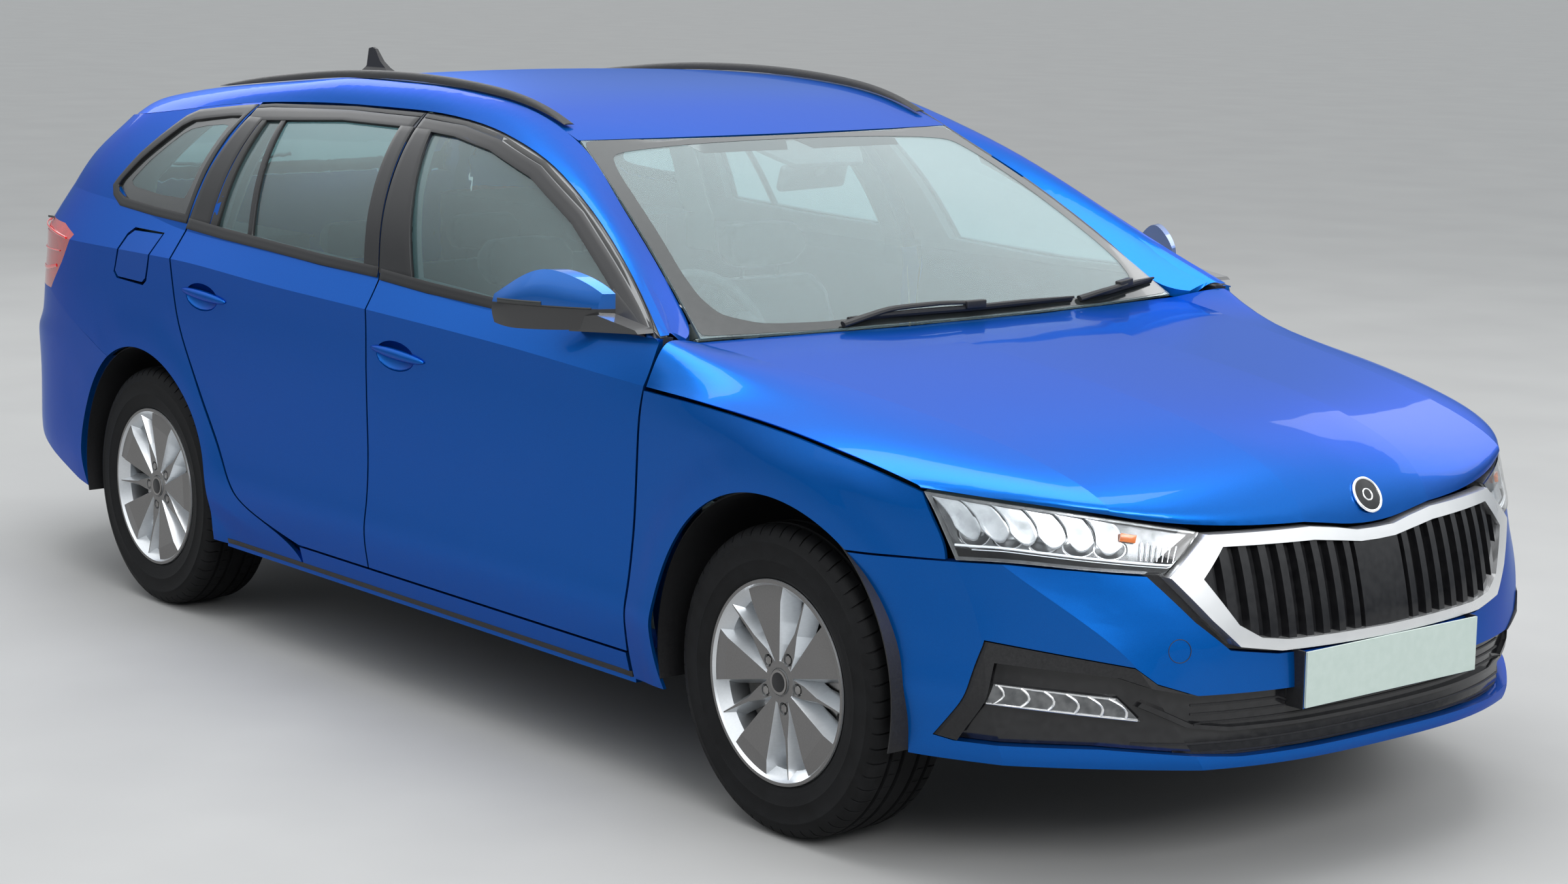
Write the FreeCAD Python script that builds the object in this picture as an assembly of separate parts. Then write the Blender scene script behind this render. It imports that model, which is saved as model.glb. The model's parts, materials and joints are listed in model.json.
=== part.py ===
import FreeCAD, Part
import math
import os

os.makedirs("parts", exist_ok=True)

# overall sizes in mm, +X forward, +Y left, +Z up, origin on the ground at mid length
halfLength = 2344.5
frontAxleX = 1464.5
rearAxleX = -1221.5
axleZ = 326.0
tyreRadius = 326.0
tyreWidth = 205.0
wheelCentreY = 771.5
rimRadius = 215.0
kingpinY = 752.0
stubRadius = 20.0
shutGap = 6.0
halfGap = shutGap / 2
skinDepth = 70.0
sheet = 3.0
bonnetDepth = 14.0
rimDepth = 2.5
wingDepth = 8.0
wingDrop = 9.5
glassDepth = 4.0
across = FreeCAD.Vector(0, 1, 0)

# limits that cutting shapes reach past, and widths of the cabin
outsideY = 1000.0
insideY = 560.0
cabinHalf = 700.0
sillHalfWidth = 888.0
sillBottom = 238.0
sillTop = 294.0
doorBottom = 300.0
linerOutside = 882.0

# number plate at the front, rails on the roof, slats of the grille
plateDepth = 4.5
plateHalf = 260.0
plateLow = 364.0
plateTop = 475.0
railY = 552.0
railHalf = 14.0
railLift = 3.6
slatPitch = 44.0
slatHalf = 9.0

# middles (x, z) of the door handles
frontHandle = (97.0, 840.0)
rearHandle = (-842.0, 885.0)

# plan taper of the nose and the tail: where it starts and how square the corner is
noseStartX = 1350.0
noseSquareness = 2.65
tailStartX = 1350.0
tailSquareness = 3.3
hoodCornerAngle = 28.4
outerCreaseAngle = 55.3
innerCreaseAngle = 82.8
bonnetBulge = 5.0
gateAngle = 49.6
gateCrown = 22.0

# leading edge of the bonnet: height against angle round the nose
hoodFrontHeights = [(27.4, 786), (42.5, 769), (56.1, 746), (68.8, 715), (80, 711), (83, 710), (85, 705), (87, 697),
                    (88.5, 691), (90, 690)]
# headlamp: heights of its edges against angle, and the angles of its ends
lampTopHeights = [(27.4, 778), (42.5, 761), (56.1, 738), (68.8, 707)]
lampLowHeights = [(30, 651), (38.5, 655), (49, 647), (63.5, 633)]
lampTopAngles = (28.6, 68.4)
lampLowAngles = (31.2, 63.2)
bowlRise = 52.0
# front bumper: start angle, heights of its rows, angle of its corner crease and facet edge against height
bumperStart = 15.0
bumperHeights = [256, 262, 272, 284, 298, 320, 352, 390, 430, 470, 510, 560, 600, 630, 656]
cornerCrease = [(225, 36), (502, 33.8), (664, 30.8)]
facetEdge = [(225, 66), (460, 55.9), (644, 38.4), (664, 36.5)]
facetFlatness = 0.5

# wheel arches as circles in the side view
frontArchRoom = 52.0
rearArchRoom = 42.0
frontArch = dict(x=frontAxleX - 2.5, z=axleZ + 17, radius=tyreRadius + frontArchRoom)
rearArch = dict(x=rearAxleX - 4.5, z=axleZ + 17, radius=tyreRadius + rearArchRoom)

# half width of the body against height: below the shoulder crease
lowerWidths = [(180, 850), (238, 868), (265, 876), (300, 884), (350, 895), (390, 903),
               (430, 897), (500, 893), (560, 893), (650, 898), (750, 904), (850, 908), (1000, 909)]
shoulderWidth = 914.0
undercutHeight = 60.0
# how far the shoulder crease lies inboard of that width along the front wing
shoulderInset = [(-2344, 0), (700, 0), (1073, 8), (1300, 20), (1504, 27), (1700, 21), (1850, 10),
                 (2344, 10)]
# lip around the wheel arches: how far it stands out, its flat band and its fade
archFlare = 8.0
flareBand = 40.0
flareFade = 45.0
# half width of the cabin sides against height
cabinWidths = [(980, 883), (1010, 878), (1050, 869), (1091, 857), (1144, 838), (1200, 812),
               (1246, 786), (1290, 755), (1316, 733), (1352, 700), (1376, 668), (1400, 640), (1440, 590)]
# height of the shoulder crease and of the window sill along the length
creaseHeights = [(-2344, 990), (-1900, 978), (-1606, 970), (-1023, 971), (-476, 951), (3, 938),
                 (563, 919), (1073, 890), (1268, 880), (1504, 859), (1716, 820), (1843, 786), (2344, 600)]
beltHeights = [(-2344, 1120), (-1425, 1091), (-1003, 1043), (-563, 1026), (-55, 1010),
               (510, 984), (1049, 989), (1200, 990)]
# how far the nose and the tail reach at each height
noseReach = [(180, 2290), (250, 2336), (272, 2344.5), (290, 2343), (312, 2335), (400, 2334), (450, 2331),
             (520, 2324), (560, 2315), (650, 2290), (703, 2268), (741, 2253), (777, 2225), (850, 2110)]
tailReach = [(180, 2200), (250, 2262), (300, 2312), (380, 2342), (450, 2344.5), (600, 2344), (660, 2342),
             (690, 2338), (720, 2285), (790, 2256), (930, 2200), (1000, 2165), (1043, 2135), (1100, 2085),
             (1200, 1985), (1250, 1900), (1300, 1820), (1350, 1780)]

# top edge of the door frames, side view (x, z), from the foot of the front pillar rearward
frameTop = [(1082, 990), (1052, 1004), (878, 1096), (620, 1226), (400, 1314), (200, 1362), (29, 1384),
            (-186, 1394), (-498, 1393), (-876, 1381), (-1143, 1359), (-1300, 1340), (-1500, 1319), (-1735, 1302)]
# windscreen edge and roof edge (x, y, z)
roofEdge = [(1041, 778, 979), (1022, 733, 974), (860, 694, 1080), (620, 640, 1222), (359, 577, 1352),
            (200, 575, 1407), (40, 578, 1433), (-306, 582, 1452), (-600, 582, 1453), (-876, 580, 1434),
            (-1361, 570, 1394), (-1600, 552, 1366), (-1700, 538, 1352)]
roofMiddle = [(405, 1353), (250, 1406), (40, 1446), (-306, 1465), (-600, 1466), (-876, 1450), (-1361, 1414),
              (-1600, 1394), (-1700, 1382)]

# door edges in the side view, bottom to top (x, z)
frontDoorFront = [(979, 297), (996, 460), (1028, 671), (1059, 877), (1077, 912), (1083, 990)]
betweenDoors = [(-84, 300), (-66, 541), (-52, 734), (-42, 885), (-30, 1000), (-168, 1394)]
rearDoorRear = [(-420, 300), (-631, 324), (-738, 400), (-817, 512), (-916, 664), (-994, 820), (-1015, 941),
                (-1003, 1043), (-985, 1200), (-940, 1380)]

# glass openings in the side view (x, z)
frontPane = [(868, 1008), (480, 1004), (102, 1022), (-84, 1362), (29, 1352), (344, 1299), (602, 1200),
             (800, 1100), (868, 1062)]
rearPane = [(-99, 1034), (-563, 1046), (-862, 1062), (-853, 1345), (-700, 1360), (-498, 1366), (-215, 1364)]
quarterPane = [(-1020, 1080), (-1375, 1098), (-1440, 1132), (-1365, 1212), (-1243, 1308), (-1130, 1334),
               (-972, 1350), (-1006, 1200)]


# side view outline (x, z) of the tail lamp, and the seam between the quarter panel and the rear bumper
tailLampOutline = [(-1595, 985), (-1690, 1008), (-2200, 1020), (-2200, 815), (-1800, 815), (-1688, 900)]
rearSeam = [(-1226, 640), (-1389, 665), (-1425, 673), (-1589, 727), (-1787, 805), (-1800, 812)]


# smooth curve through a table of pairs
def along(table, at):
    rows = sorted(table)
    if at <= rows[0][0]:
        return rows[0][1]
    if at >= rows[-1][0]:
        return rows[-1][1]
    slopes = []
    for one, two in zip(rows, rows[1:]):
        slopes.append((two[1] - one[1]) / (two[0] - one[0]))
    tangents = [slopes[0]]
    for before, after in zip(slopes, slopes[1:]):
        if before * after <= 0:
            tangents.append(0.0)
        else:
            tangents.append(2 * before * after / (before + after))
    tangents.append(slopes[-1])
    for k in range(len(rows) - 1):
        if rows[k][0] <= at <= rows[k + 1][0]:
            width = rows[k + 1][0] - rows[k][0]
            t = (at - rows[k][0]) / width
            a = rows[k][1] * (1 + 2 * t) * (1 - t) ** 2 + rows[k + 1][1] * t * t * (3 - 2 * t)
            b = tangents[k] * width * t * (1 - t) ** 2 + tangents[k + 1] * width * t * t * (t - 1)
            return a + b
    return rows[-1][1]


# half width of a square cut section of the body at height z, with the crease at its own height
def sectionWidth(x, z, above=None):
    crease = along(creaseHeights, x)
    belt = max(along(beltHeights, x), crease + 20)
    shoulder = shoulderWidth - along(shoulderInset, x)
    if above is None:
        above = z > crease
    if not above:
        width = along(lowerWidths, z)
        near = max(0.0, 1 - (crease - z) / undercutHeight)
        return width + (shoulder - width) * near ** 1.5
    if z < belt:
        t = (z - crease) / (belt - crease)
        return shoulder + (along(cabinWidths, belt) - shoulder) * t
    narrowing = 0.62 * (max(x, 0.0) / 1000.0) ** 1.7 * max(z - 980.0, 0.0)
    return along(cabinWidths, z) - narrowing


# how far the lips of the wheel arches stand out of the body side
def archSwell(x, z):
    most = 0.0
    for arch in (frontArch, rearArch):
        away = math.hypot(x - arch["x"], z - arch["z"]) - arch["radius"] - flareBand
        fade = min(max(away / flareFade, 0.0), 1.0)
        most = max(most, archFlare * (1 - fade * fade * (3 - 2 * fade)))
    return most


# half width of the body side at any length and height
def sideWidth(x, z, above=None):
    width = sectionWidth(x, z, above)
    if x > noseStartX:
        u = min((x - noseStartX) / (along(noseReach, z) - noseStartX), 0.995)
        width = width * (1 - u ** noseSquareness) ** (1 / noseSquareness)
    if x < -tailStartX:
        u = min((-x - tailStartX) / (along(tailReach, z) - tailStartX), 0.995)
        width = width * (1 - u ** tailSquareness) ** (1 / tailSquareness)
    return width + archSwell(x, z)


# point on the nose or on the tail: angle 0 on the side, 90 on the middle line
def nosePoint(angle, z, push=0.0):
    turn = math.radians(angle)
    power = 2 / noseSquareness
    reach = along(noseReach, z) - noseStartX + push
    width = sectionWidth(noseStartX, z, False) + push
    x = noseStartX + reach * max(math.sin(turn), 0.0) ** power
    return FreeCAD.Vector(x, -width * max(math.cos(turn), 0.0) ** power - archSwell(x, z), z)


def tailPoint(angle, z, push=0.0):
    turn = math.radians(angle)
    power = 2 / tailSquareness
    reach = along(tailReach, z) - tailStartX + push
    width = sectionWidth(-tailStartX, z) + push
    x = tailStartX + reach * max(math.sin(turn), 0.0) ** power
    return FreeCAD.Vector(-x, -width * max(math.cos(turn), 0.0) ** power - archSwell(-x, z), z)


def steps(low, high, count):
    return [low + (high - low) * k / (count - 1) for k in range(count)]


# evenly spaced points along an open line of points
def spread(points, count):
    lengths = [0.0]
    for one, two in zip(points, points[1:]):
        lengths.append(lengths[-1] + math.dist(one, two))
    out = []
    for k in range(count):
        want = lengths[-1] * k / (count - 1)
        values = []
        for axis in range(len(points[0])):
            values.append(along([(s, p[axis]) for s, p in zip(lengths, points)], want))
        out.append(tuple(values))
    return out


# surfaces and solids from grids of points
def knotsFor(count, degree):
    inner = count - degree - 1
    return [float(k) for k in range(inner + 2)], [degree + 1] + [1] * inner + [degree + 1]


def surface(grid):
    rows = len(grid)
    columns = len(grid[0])
    degreeU = 3 if rows > 3 else 1
    degreeV = 3 if columns > 3 else 1
    knotsU, timesU = knotsFor(rows, degreeU)
    knotsV, timesV = knotsFor(columns, degreeV)
    made = Part.BSplineSurface()
    made.buildFromPolesMultsKnots(grid, timesU, timesV, knotsU, knotsV, False, False, degreeU, degreeV)
    return made.toShape()


def offsetGrid(grid, depth):
    rows = len(grid)
    columns = len(grid[0])
    out = []
    for i in range(rows):
        line = []
        for j in range(columns):
            up = grid[min(i + 1, rows - 1)][j].sub(grid[max(i - 1, 0)][j])
            side = grid[i][min(j + 1, columns - 1)].sub(grid[i][max(j - 1, 0)])
            normal = up.cross(side)
            normal.normalize()
            line.append(grid[i][j].add(normal.multiply(depth)))
        out.append(line)
    return out


def shifted(grid, dx=0.0, dy=0.0, dz=0.0):
    return [[p.add(FreeCAD.Vector(dx, dy, dz)) for p in row] for row in grid]


def sewn(faces):
    group = Part.makeCompound(faces)
    group.sewShape(0.01)
    made = Part.Solid(group.Shells[0])
    if made.Volume < 0:
        made.reverse()
    return made


# solid between stacked pairs of outer and inner grids that share their border rows
def layered(blocks):
    faces = []
    for outer, inner in blocks:
        faces.append(surface(outer))
        faces.append(surface(inner))
        faces.append(surface([[outer[r][0], inner[r][0]] for r in range(len(outer))]))
        faces.append(surface([[outer[r][-1], inner[r][-1]] for r in range(len(outer))]))
    faces.append(surface([blocks[0][0][0], blocks[0][1][0]]))
    faces.append(surface([blocks[-1][0][-1], blocks[-1][1][-1]]))
    return sewn(faces)


def box(x0, x1, y0, y1, z0, z1):
    corner = FreeCAD.Vector(x0, y0, z0)
    return Part.makeBox(x1 - x0, y1 - y0, z1 - z0, corner)


# prism from a side view outline (x, z) between two y, or from a front view outline (y, z) between two x
def sidePrism(points, y0, y1):
    ring = [FreeCAD.Vector(x, y0, z) for x, z in points]
    wire = Part.makePolygon(ring + [ring[0]])
    return Part.Face(wire).extrude(FreeCAD.Vector(0, y1 - y0, 0))


def frontPrism(points, x0, x1):
    ring = [FreeCAD.Vector(x0, y, z) for y, z in points]
    wire = Part.makePolygon(ring + [ring[0]])
    return Part.Face(wire).extrude(FreeCAD.Vector(x1 - x0, 0, 0))


def archCut(arch, inner=insideY, extra=0.0):
    start = FreeCAD.Vector(arch["x"], -outsideY, arch["z"])
    return Part.makeCylinder(arch["radius"] + extra, outsideY - inner, start, across)


def mirrored(shape):
    return shape.mirror(FreeCAD.Vector(0, 0, 0), FreeCAD.Vector(0, 1, 0))


def both(shape):
    return Part.makeCompound([shape, mirrored(shape)])


def group(*shapes):
    return Part.makeCompound(list(shapes))


def save(shape, name):
    shape.exportStep("parts/" + name + ".step")


# one side panel of the right side between a front and a rear edge: bands below the crease, up to the
# window sill and up to a top line; outset moves it in or out and depths are its thickness per band
def sidePanel(frontEdge, rearEdge, bottom, topLine=None, columns=9, outset=0.0, depths=(70, 60, 40, 34),
              inset=8.0, above=True, outsets=None, topDrop=0.0, lowRows=14):
    outsets = outsets or (outset, outset, outset, outset)
    frontX = [(z, x) for x, z in frontEdge]
    rearX = [(z, x) for x, z in rearEdge]

    def levelRow(heightAt):
        line = []
        for k in range(columns):
            t = k / (columns - 1)
            z = heightAt(0.0)
            for step in range(4):
                x = along(frontX, z) * (1 - t) + along(rearX, z) * t
                z = heightAt(x)
            line.append((x, z))
        return line

    def creaseAt(x):
        return along(creaseHeights, x)

    def beltAt(x):
        return max(along(beltHeights, x), creaseAt(x) + 20)

    lower = []
    for t in steps(0, 1, lowRows):
        lower.append(levelRow(lambda x: bottom + (creaseAt(x) - topDrop - bottom) * t))
    bands = [(lower, False, depths[0], depths[1])]
    if above:
        shoulder = []
        for t in (0, 0.33, 0.67, 1):
            shoulder.append(levelRow(lambda x: creaseAt(x) + (beltAt(x) - creaseAt(x)) * t))
        bands.append((shoulder, True, depths[1], depths[2]))
    if topLine:
        upper = []
        topRow = spread(topLine, columns)
        for t in (0, 0.2, 0.4, 0.6, 0.8, 0.92, 1):
            upper.append(between(shoulder[-1], topRow, t))
        bands.append((upper, True, depths[2], depths[3]))

    blocks = []
    for (rows, high, depthLow, depthHigh), low in zip(bands, (0, 1, 2)):
        outer = []
        inner = []
        for r, row in enumerate(rows):
            t = r / (len(rows) - 1)
            depth = depthLow + (depthHigh - depthLow) * t
            outset = outsets[low] + (outsets[low + 1] - outsets[low]) * t
            middle = (row[0][0] + row[-1][0]) / 2
            shrink = 1 - 2 * inset / max(abs(row[0][0] - row[-1][0]), 60.0)
            outerLine = []
            innerLine = []
            for x, z in row:
                y = -sideWidth(x, z, high) - outset
                outerLine.append(FreeCAD.Vector(x, y, z))
                innerLine.append(FreeCAD.Vector(middle + (x - middle) * shrink, y + depth, z))
            outer.append(outerLine)
            inner.append(innerLine)
        blocks.append((outer, inner))
    return layered(blocks)


def between(one, two, t):
    return [tuple(a + (b - a) * t for a, b in zip(p, q)) for p, q in zip(one, two)]


# an edge line (x, z) from bottom to top moved rearward by a distance square to it
def edgeShift(edge, rearward):
    out = []
    for k, (x, z) in enumerate(edge):
        before = edge[max(k - 1, 0)]
        after = edge[min(k + 1, len(edge) - 1)]
        length = math.dist(before, after)
        along_x = (after[0] - before[0]) / length
        along_z = (after[1] - before[1]) / length
        out.append((x - along_z * rearward, z + along_x * rearward))
    return out


# the frame top line between two x, lowered by a gap
def topLineBetween(xFront, xRear, drop, count=14):
    line = []
    for k in range(count):
        x = xFront + (xRear - xFront) * k / (count - 1)
        line.append((x, along([(a, b) for a, b in frameTop], x) - drop))
    return line


# shell of the nose between two heights and two angles, both sides of the middle
def noseGrid(angles, heights, push):
    grid = []
    for z in heights:
        right = [nosePoint(a, z, push) for a in angles]
        left = [FreeCAD.Vector(p.x, -p.y, p.z) for p in reversed(right[:-1])]
        grid.append(right + left)
    return grid


def tailGrid(angles, heights, push):
    grid = []
    for z in heights:
        right = [tailPoint(a, z, push) for a in angles]
        left = [FreeCAD.Vector(p.x, -p.y, p.z) for p in reversed(right[:-1])]
        grid.append(right + left)
    return grid


# outline (y, z) of the right half from the middle outwards and back, made whole
def wholeOutline(points):
    return points + [(-y, z) for y, z in reversed(points) if y]


# ball stretched to three radii
def stretchedBall(x, y, z, radiusX, radiusY, radiusZ):
    matrix = FreeCAD.Matrix()
    matrix.scale(radiusX, radiusY, radiusZ)
    ball = Part.makeSphere(1.0).transformGeometry(matrix)
    ball.translate(FreeCAD.Vector(x, y, z))
    return ball


# doors
frontDoorFrontGap = edgeShift(frontDoorFront, halfGap)
frontDoorRearGap = edgeShift(betweenDoors, -halfGap)
rearDoorFrontGap = edgeShift(betweenDoors, halfGap)
rearDoorRearGap = edgeShift(rearDoorRear, -halfGap - 2)
frontTop = topLineBetween(1080, -168 + halfGap, shutGap)
rearTop = topLineBetween(-168 - halfGap, -940 + halfGap, shutGap)


def sideCut(outline):
    return sidePrism(outline, -outsideY, -insideY)


# scoop behind a door handle and the handle bar across it, by the handle's middle (x, z)
def withHandle(door, x, z):
    skinY = -sideWidth(x, z)
    scoop = stretchedBall(x - 12, skinY, z, 84, 15, 36)
    bar = stretchedBall(x, skinY - 2, z + 5, 116, 11, 13)
    bar.rotate(FreeCAD.Vector(x, skinY, z), FreeCAD.Vector(0, 1, 0), 3)
    return door.cut(scoop).fuse(bar)


frontDoor = sidePanel(frontDoorFrontGap, frontDoorRearGap, doorBottom, frontTop, 15)
frontDoor = withHandle(frontDoor.cut(sideCut(frontPane)), *frontHandle)
rearDoor = sidePanel(rearDoorFrontGap, rearDoorRearGap, doorBottom, rearTop, 19)
rearDoor = rearDoor.cut(sideCut(rearPane)).cut(archCut(rearArch, insideY, 4))
rearDoor = withHandle(rearDoor, *rearHandle)
glassDepths = (glassDepth, glassDepth, glassDepth, glassDepth)
frontGlass = sidePanel(frontDoorFrontGap, frontDoorRearGap, doorBottom, frontTop, 15, -9, glassDepths)
frontGlass = frontGlass.common(sideCut(frontPane))
rearGlass = sidePanel(rearDoorFrontGap, rearDoorRearGap, doorBottom, rearTop, 19, -9, glassDepths)
rearGlass = rearGlass.common(sideCut(rearPane))
save(frontDoor, "door_front_right")
save(mirrored(frontDoor), "door_front_left")
save(rearDoor, "door_rear_right")
save(mirrored(rearDoor), "door_rear_left")
save(frontGlass, "glass_front_right")
save(mirrored(frontGlass), "glass_front_left")
save(rearGlass, "glass_rear_right")
save(mirrored(rearGlass), "glass_rear_left")
print("doors")

# side frames: quarter panel, roof rail above the doors, pillars and sill
tailLevels = (180, 400, 600, 690, 780, 850, 900, 950, 1000, 1040, 1080, 1115, 1150, 1185, 1220, 1260)
tailEdge = [(tailPoint(gateAngle - 1.3, z).x, z) for z in tailLevels]
tailEdge = tailEdge + [(-1738, 1302)]
quarterFront = edgeShift(rearDoorRear, halfGap)
quarterTop = topLineBetween(-946, -1735, 0)


def quarterPanel(outset, depth, inset=8.0):
    return sidePanel(quarterFront, tailEdge, sillBottom, quarterTop, 29, outset, (depth, depth, depth, depth), inset)


quarter = quarterPanel(0, 14, 2)
quarter = quarter.cut(archCut(rearArch))
belowSeam = [(rearArch["x"], 100)] + rearSeam + [(-2400, 812), (-2400, 100)]
quarter = quarter.cut(sideCut(belowSeam))
lampCut = sideCut(tailLampOutline)
tailLamp = quarter.common(lampCut)
quarterHole = sideCut(quarterPane)
quarter = quarter.cut(lampCut).cut(quarterHole)
quarterGlass = quarterPanel(-6, glassDepth).common(quarterHole)
flapOuter = [(-1100, 1030), (-1262, 1032), (-1290, 1014), (-1346, 906), (-1330, 890), (-1180, 884), (-1158, 898)]
flapMiddle = (-1222, 960)
flapInner = []
for x, z in flapOuter:
    away = math.dist((x, z), flapMiddle)
    share = 1 - (shutGap + 3.6) / away
    flapInner.append((flapMiddle[0] + (x - flapMiddle[0]) * share, flapMiddle[1] + (z - flapMiddle[1]) * share))
fuelFlap = quarterPanel(0, 8).common(sideCut(flapInner))
quarterRight = quarter.cut(quarterPanel(4, 40).common(sideCut(flapOuter)))
save(fuelFlap, "fuel_flap")


# strip from the door frames up to the windscreen edge and the roof edge: how far it bulges along the
# length, and how far its inner skin lies below the outer one from its low edge to its high edge
stripBulges = [(-1735, 10), (200, 10), (600, 15), (1074, 16)]
stripDrops = (1, -3, -6, -12, -20)


def roofStrip():
    count = 33
    low = []
    for x, z in spread(topLineBetween(1074, -1735, -1, 30), count):
        low.append((x, -sideWidth(x, z, True), z))
    high = [(x, -y, z) for x, y, z in spread(roofEdge, count)]
    outer = []
    for t in (0, 0.25, 0.5, 0.75, 1):
        line = []
        for one, two in zip(low, high):
            bulge = along(stripBulges, one[0]) * 4 * t * (1 - t)
            x = one[0] + (two[0] - one[0]) * t
            y = one[1] + (two[1] - one[1]) * t - bulge
            z = one[2] + (two[2] - one[2]) * t + bulge
            line.append(FreeCAD.Vector(x, y, z))
        outer.append(line)
    inner = []
    for t, drop, line in zip((0, 0.25, 0.5, 0.75, 1), stripDrops, outer):
        inner.append([p.add(FreeCAD.Vector(0, 22 * (1 - t) + 0.5, drop)) for p in line])
    return layered([(outer, inner)])


strip = roofStrip()
middlePillar = sidePanel([(-22, 300), (-22, 1000), (-120, 1380)], [(-112, 300), (-112, 1000), (-214, 1380)],
                         sillTop, topLineBetween(-120, -214, -13, 4), 4, 0, (50, 50, 40, 34),
                         outsets=(-84, -76, -56, -44))
frontPillar = sidePanel([(1076, 200), (1076, 1000)], [(978, 200), (978, 1000)], sillTop, None, 4, -84,
                        (60, 60, 60, 60))
frontPillar = frontPillar.common(box(900, 1100, -outsideY, -insideY, 200, 940))
sillPanel = sidePanel([(970, 200), (970, 1000)], [(-416, 200), (-416, 1000)], sillBottom, None, 9, 0,
                      (55, 55, 55, 55), 0, False)
sillPanel = sillPanel.common(box(-420, 980, -outsideY, -insideY, 100, sillTop))
sill = box(-830, 976, 30 - sillHalfWidth, -cabinHalf, 225, sillTop).fuse(sillPanel)
save(group(quarterRight, strip, middlePillar, frontPillar, sill), "side_frame_right")
save(mirrored(group(quarter, strip, middlePillar, frontPillar, sill)), "side_frame_left")
save(both(quarterGlass), "quarter_glass")
save(both(tailLamp), "tail_lamps")
print("side frames")

# front wings, with the seam to the bumper as a side view line (x, z)
seamLine = [(2000, 652), (1900, 651), (1738, 645), (1600, 640)]
wingRear = edgeShift(frontDoorFront, -halfGap - 1.5)
wingFront = [(1900, 240), (1903, 655), (1855, 760), (1840, 790)]
wing = sidePanel(wingFront, wingRear, sillBottom, None, 27, 0, (wingDepth, wingDepth), 2, False, None, wingDrop, 18)
wing = wing.cut(archCut(frontArch))
wing = wing.cut(sideCut([(1462, 100), (2000, 100)] + seamLine + [(1462, 640)]))
wing = wing.cut(sideCut([(1921, 640), (2100, 640), (2100, 900), (1846, 900), (1846, 777)]))
save(wing, "wing_right")
save(mirrored(wing), "wing_left")
print("wings")

# bonnet: lines (x, y, z) that run back from its leading edge, which lies on the nose itself
outerCrease = [(2132, 594, 757), (2105, 597, 776), (2050, 603, 800), (1960, 612, 828), (1820, 625, 860),
               (1640, 650, 891), (1440, 676, 919), (1230, 703, 946)]
innerCrease = [(2252, 190, 736), (2224, 193, 769), (2176, 197, 803), (2088, 201, 840), (1938, 205, 880),
               (1740, 207, 912), (1490, 209, 943), (1245, 210, 964)]
middleLine = [(2262, 0, 733), (2238, 0, 770), (2192, 0, 806), (2106, 0, 842), (1955, 0, 881),
              (1752, 0, 913), (1500, 0, 944), (1252, 0, 966)]
shutLine = []
for x in (1838, 1822, 1790, 1735, 1640, 1504, 1350, 1200):
    z = along(creaseHeights, x)
    shutLine.append((x, sideWidth(x, z, False) - 2, z))
# rear corner around the foot of the windscreen pillar, from the shut line inwards
rearCorner = [(1070, 904, 890), (1085, 896, 935), (1091, 874, 982), (1078, 830, 980), (1056, 782, 974),
              (1032, 735, 966)]
rearInside = [(1032, 735, 966), (1062, 560, 968), (1086, 385, 969), (1100, 210, 969)]
rearMiddle = (1106, 0, 970)
# share of the nose's roundness that each row keeps, and how far the rear rows take up the corner
rowRoundness = [1, 0.97, 0.92, 0.82, 0.66, 0.45, 0.22, 0.08, 0, 0]
rowCorner = [0, 0, 0, 0, 0, 0, 0, 0.05, 0.3, 1]


def leadingPoint(angle):
    point = nosePoint(angle, along(hoodFrontHeights, angle))
    return (point.x, -point.y, point.z)


def lerp(one, two, t):
    return tuple(a + (b - a) * t for a, b in zip(one, two))


# lines across one band of the bonnet, from its outer crease line to its inner one
def bandLines(outerLine, innerLine, angles, shares, bulge, corner=None):
    lines = []
    first = leadingPoint(angles[0])
    last = leadingPoint(angles[1])
    for k, s in enumerate(shares):
        front = leadingPoint(angles[0] + (angles[1] - angles[0]) * s)
        roundness = [a - b for a, b in zip(front, lerp(first, last, s))]
        line = []
        for i in range(10):
            one = outerLine[i - 1] if i else first
            two = innerLine[i - 1] if i else last
            x, y, z = lerp(one, two, s)
            x, y, z = (v + r * rowRoundness[i] for v, r in zip((x, y, z), roundness))
            z = z + bulge * 4 * s * (1 - s) * min(i / 3, 1)
            if corner and rowCorner[i]:
                share = rowCorner[i]
                straight = lerp(corner[0], corner[-1], s)
                x, y, z = (v + (c - b) * share for v, c, b in zip((x, y, z), corner[k], straight))
            line.append(FreeCAD.Vector(x, -y, z))
        lines.append(line)
    return lines


fifths = (0, 0.2, 0.4, 0.6, 0.8, 1)
outerBand = bandLines(shutLine + [rearCorner[0]], outerCrease + [rearCorner[-1]],
                      (hoodCornerAngle, outerCreaseAngle), fifths, bonnetBulge, rearCorner)
midBand = bandLines(outerCrease + [rearCorner[-1]], innerCrease + [rearInside[-1]],
                    (outerCreaseAngle, innerCreaseAngle), (0, 1 / 3, 2 / 3, 1), 1, rearInside)
centreBand = bandLines(innerCrease + [rearInside[-1]], middleLine + [rearMiddle], (innerCreaseAngle, 90), (0, 1 / 3, 2 / 3, 1), 1)
rightLines = outerBand + midBand[1:] + centreBand[1:]
leftLines = [[FreeCAD.Vector(p.x, -p.y, p.z) for p in line] for line in reversed(rightLines[:-1])]
bonnetLines = rightLines + leftLines


# inner skin: thin along its rim, full depth further in
def bonnetInner(lines):
    full = offsetGrid(lines, -1.0)
    out = []
    for i, line in enumerate(lines):
        row = []
        for j, point in enumerate(line):
            rim = i in (0, len(lines) - 1) or j in (0, len(line) - 1)
            depth = rimDepth if rim else bonnetDepth
            row.append(point.add(full[i][j].sub(point).multiply(depth)))
        out.append(row)
    return out


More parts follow.
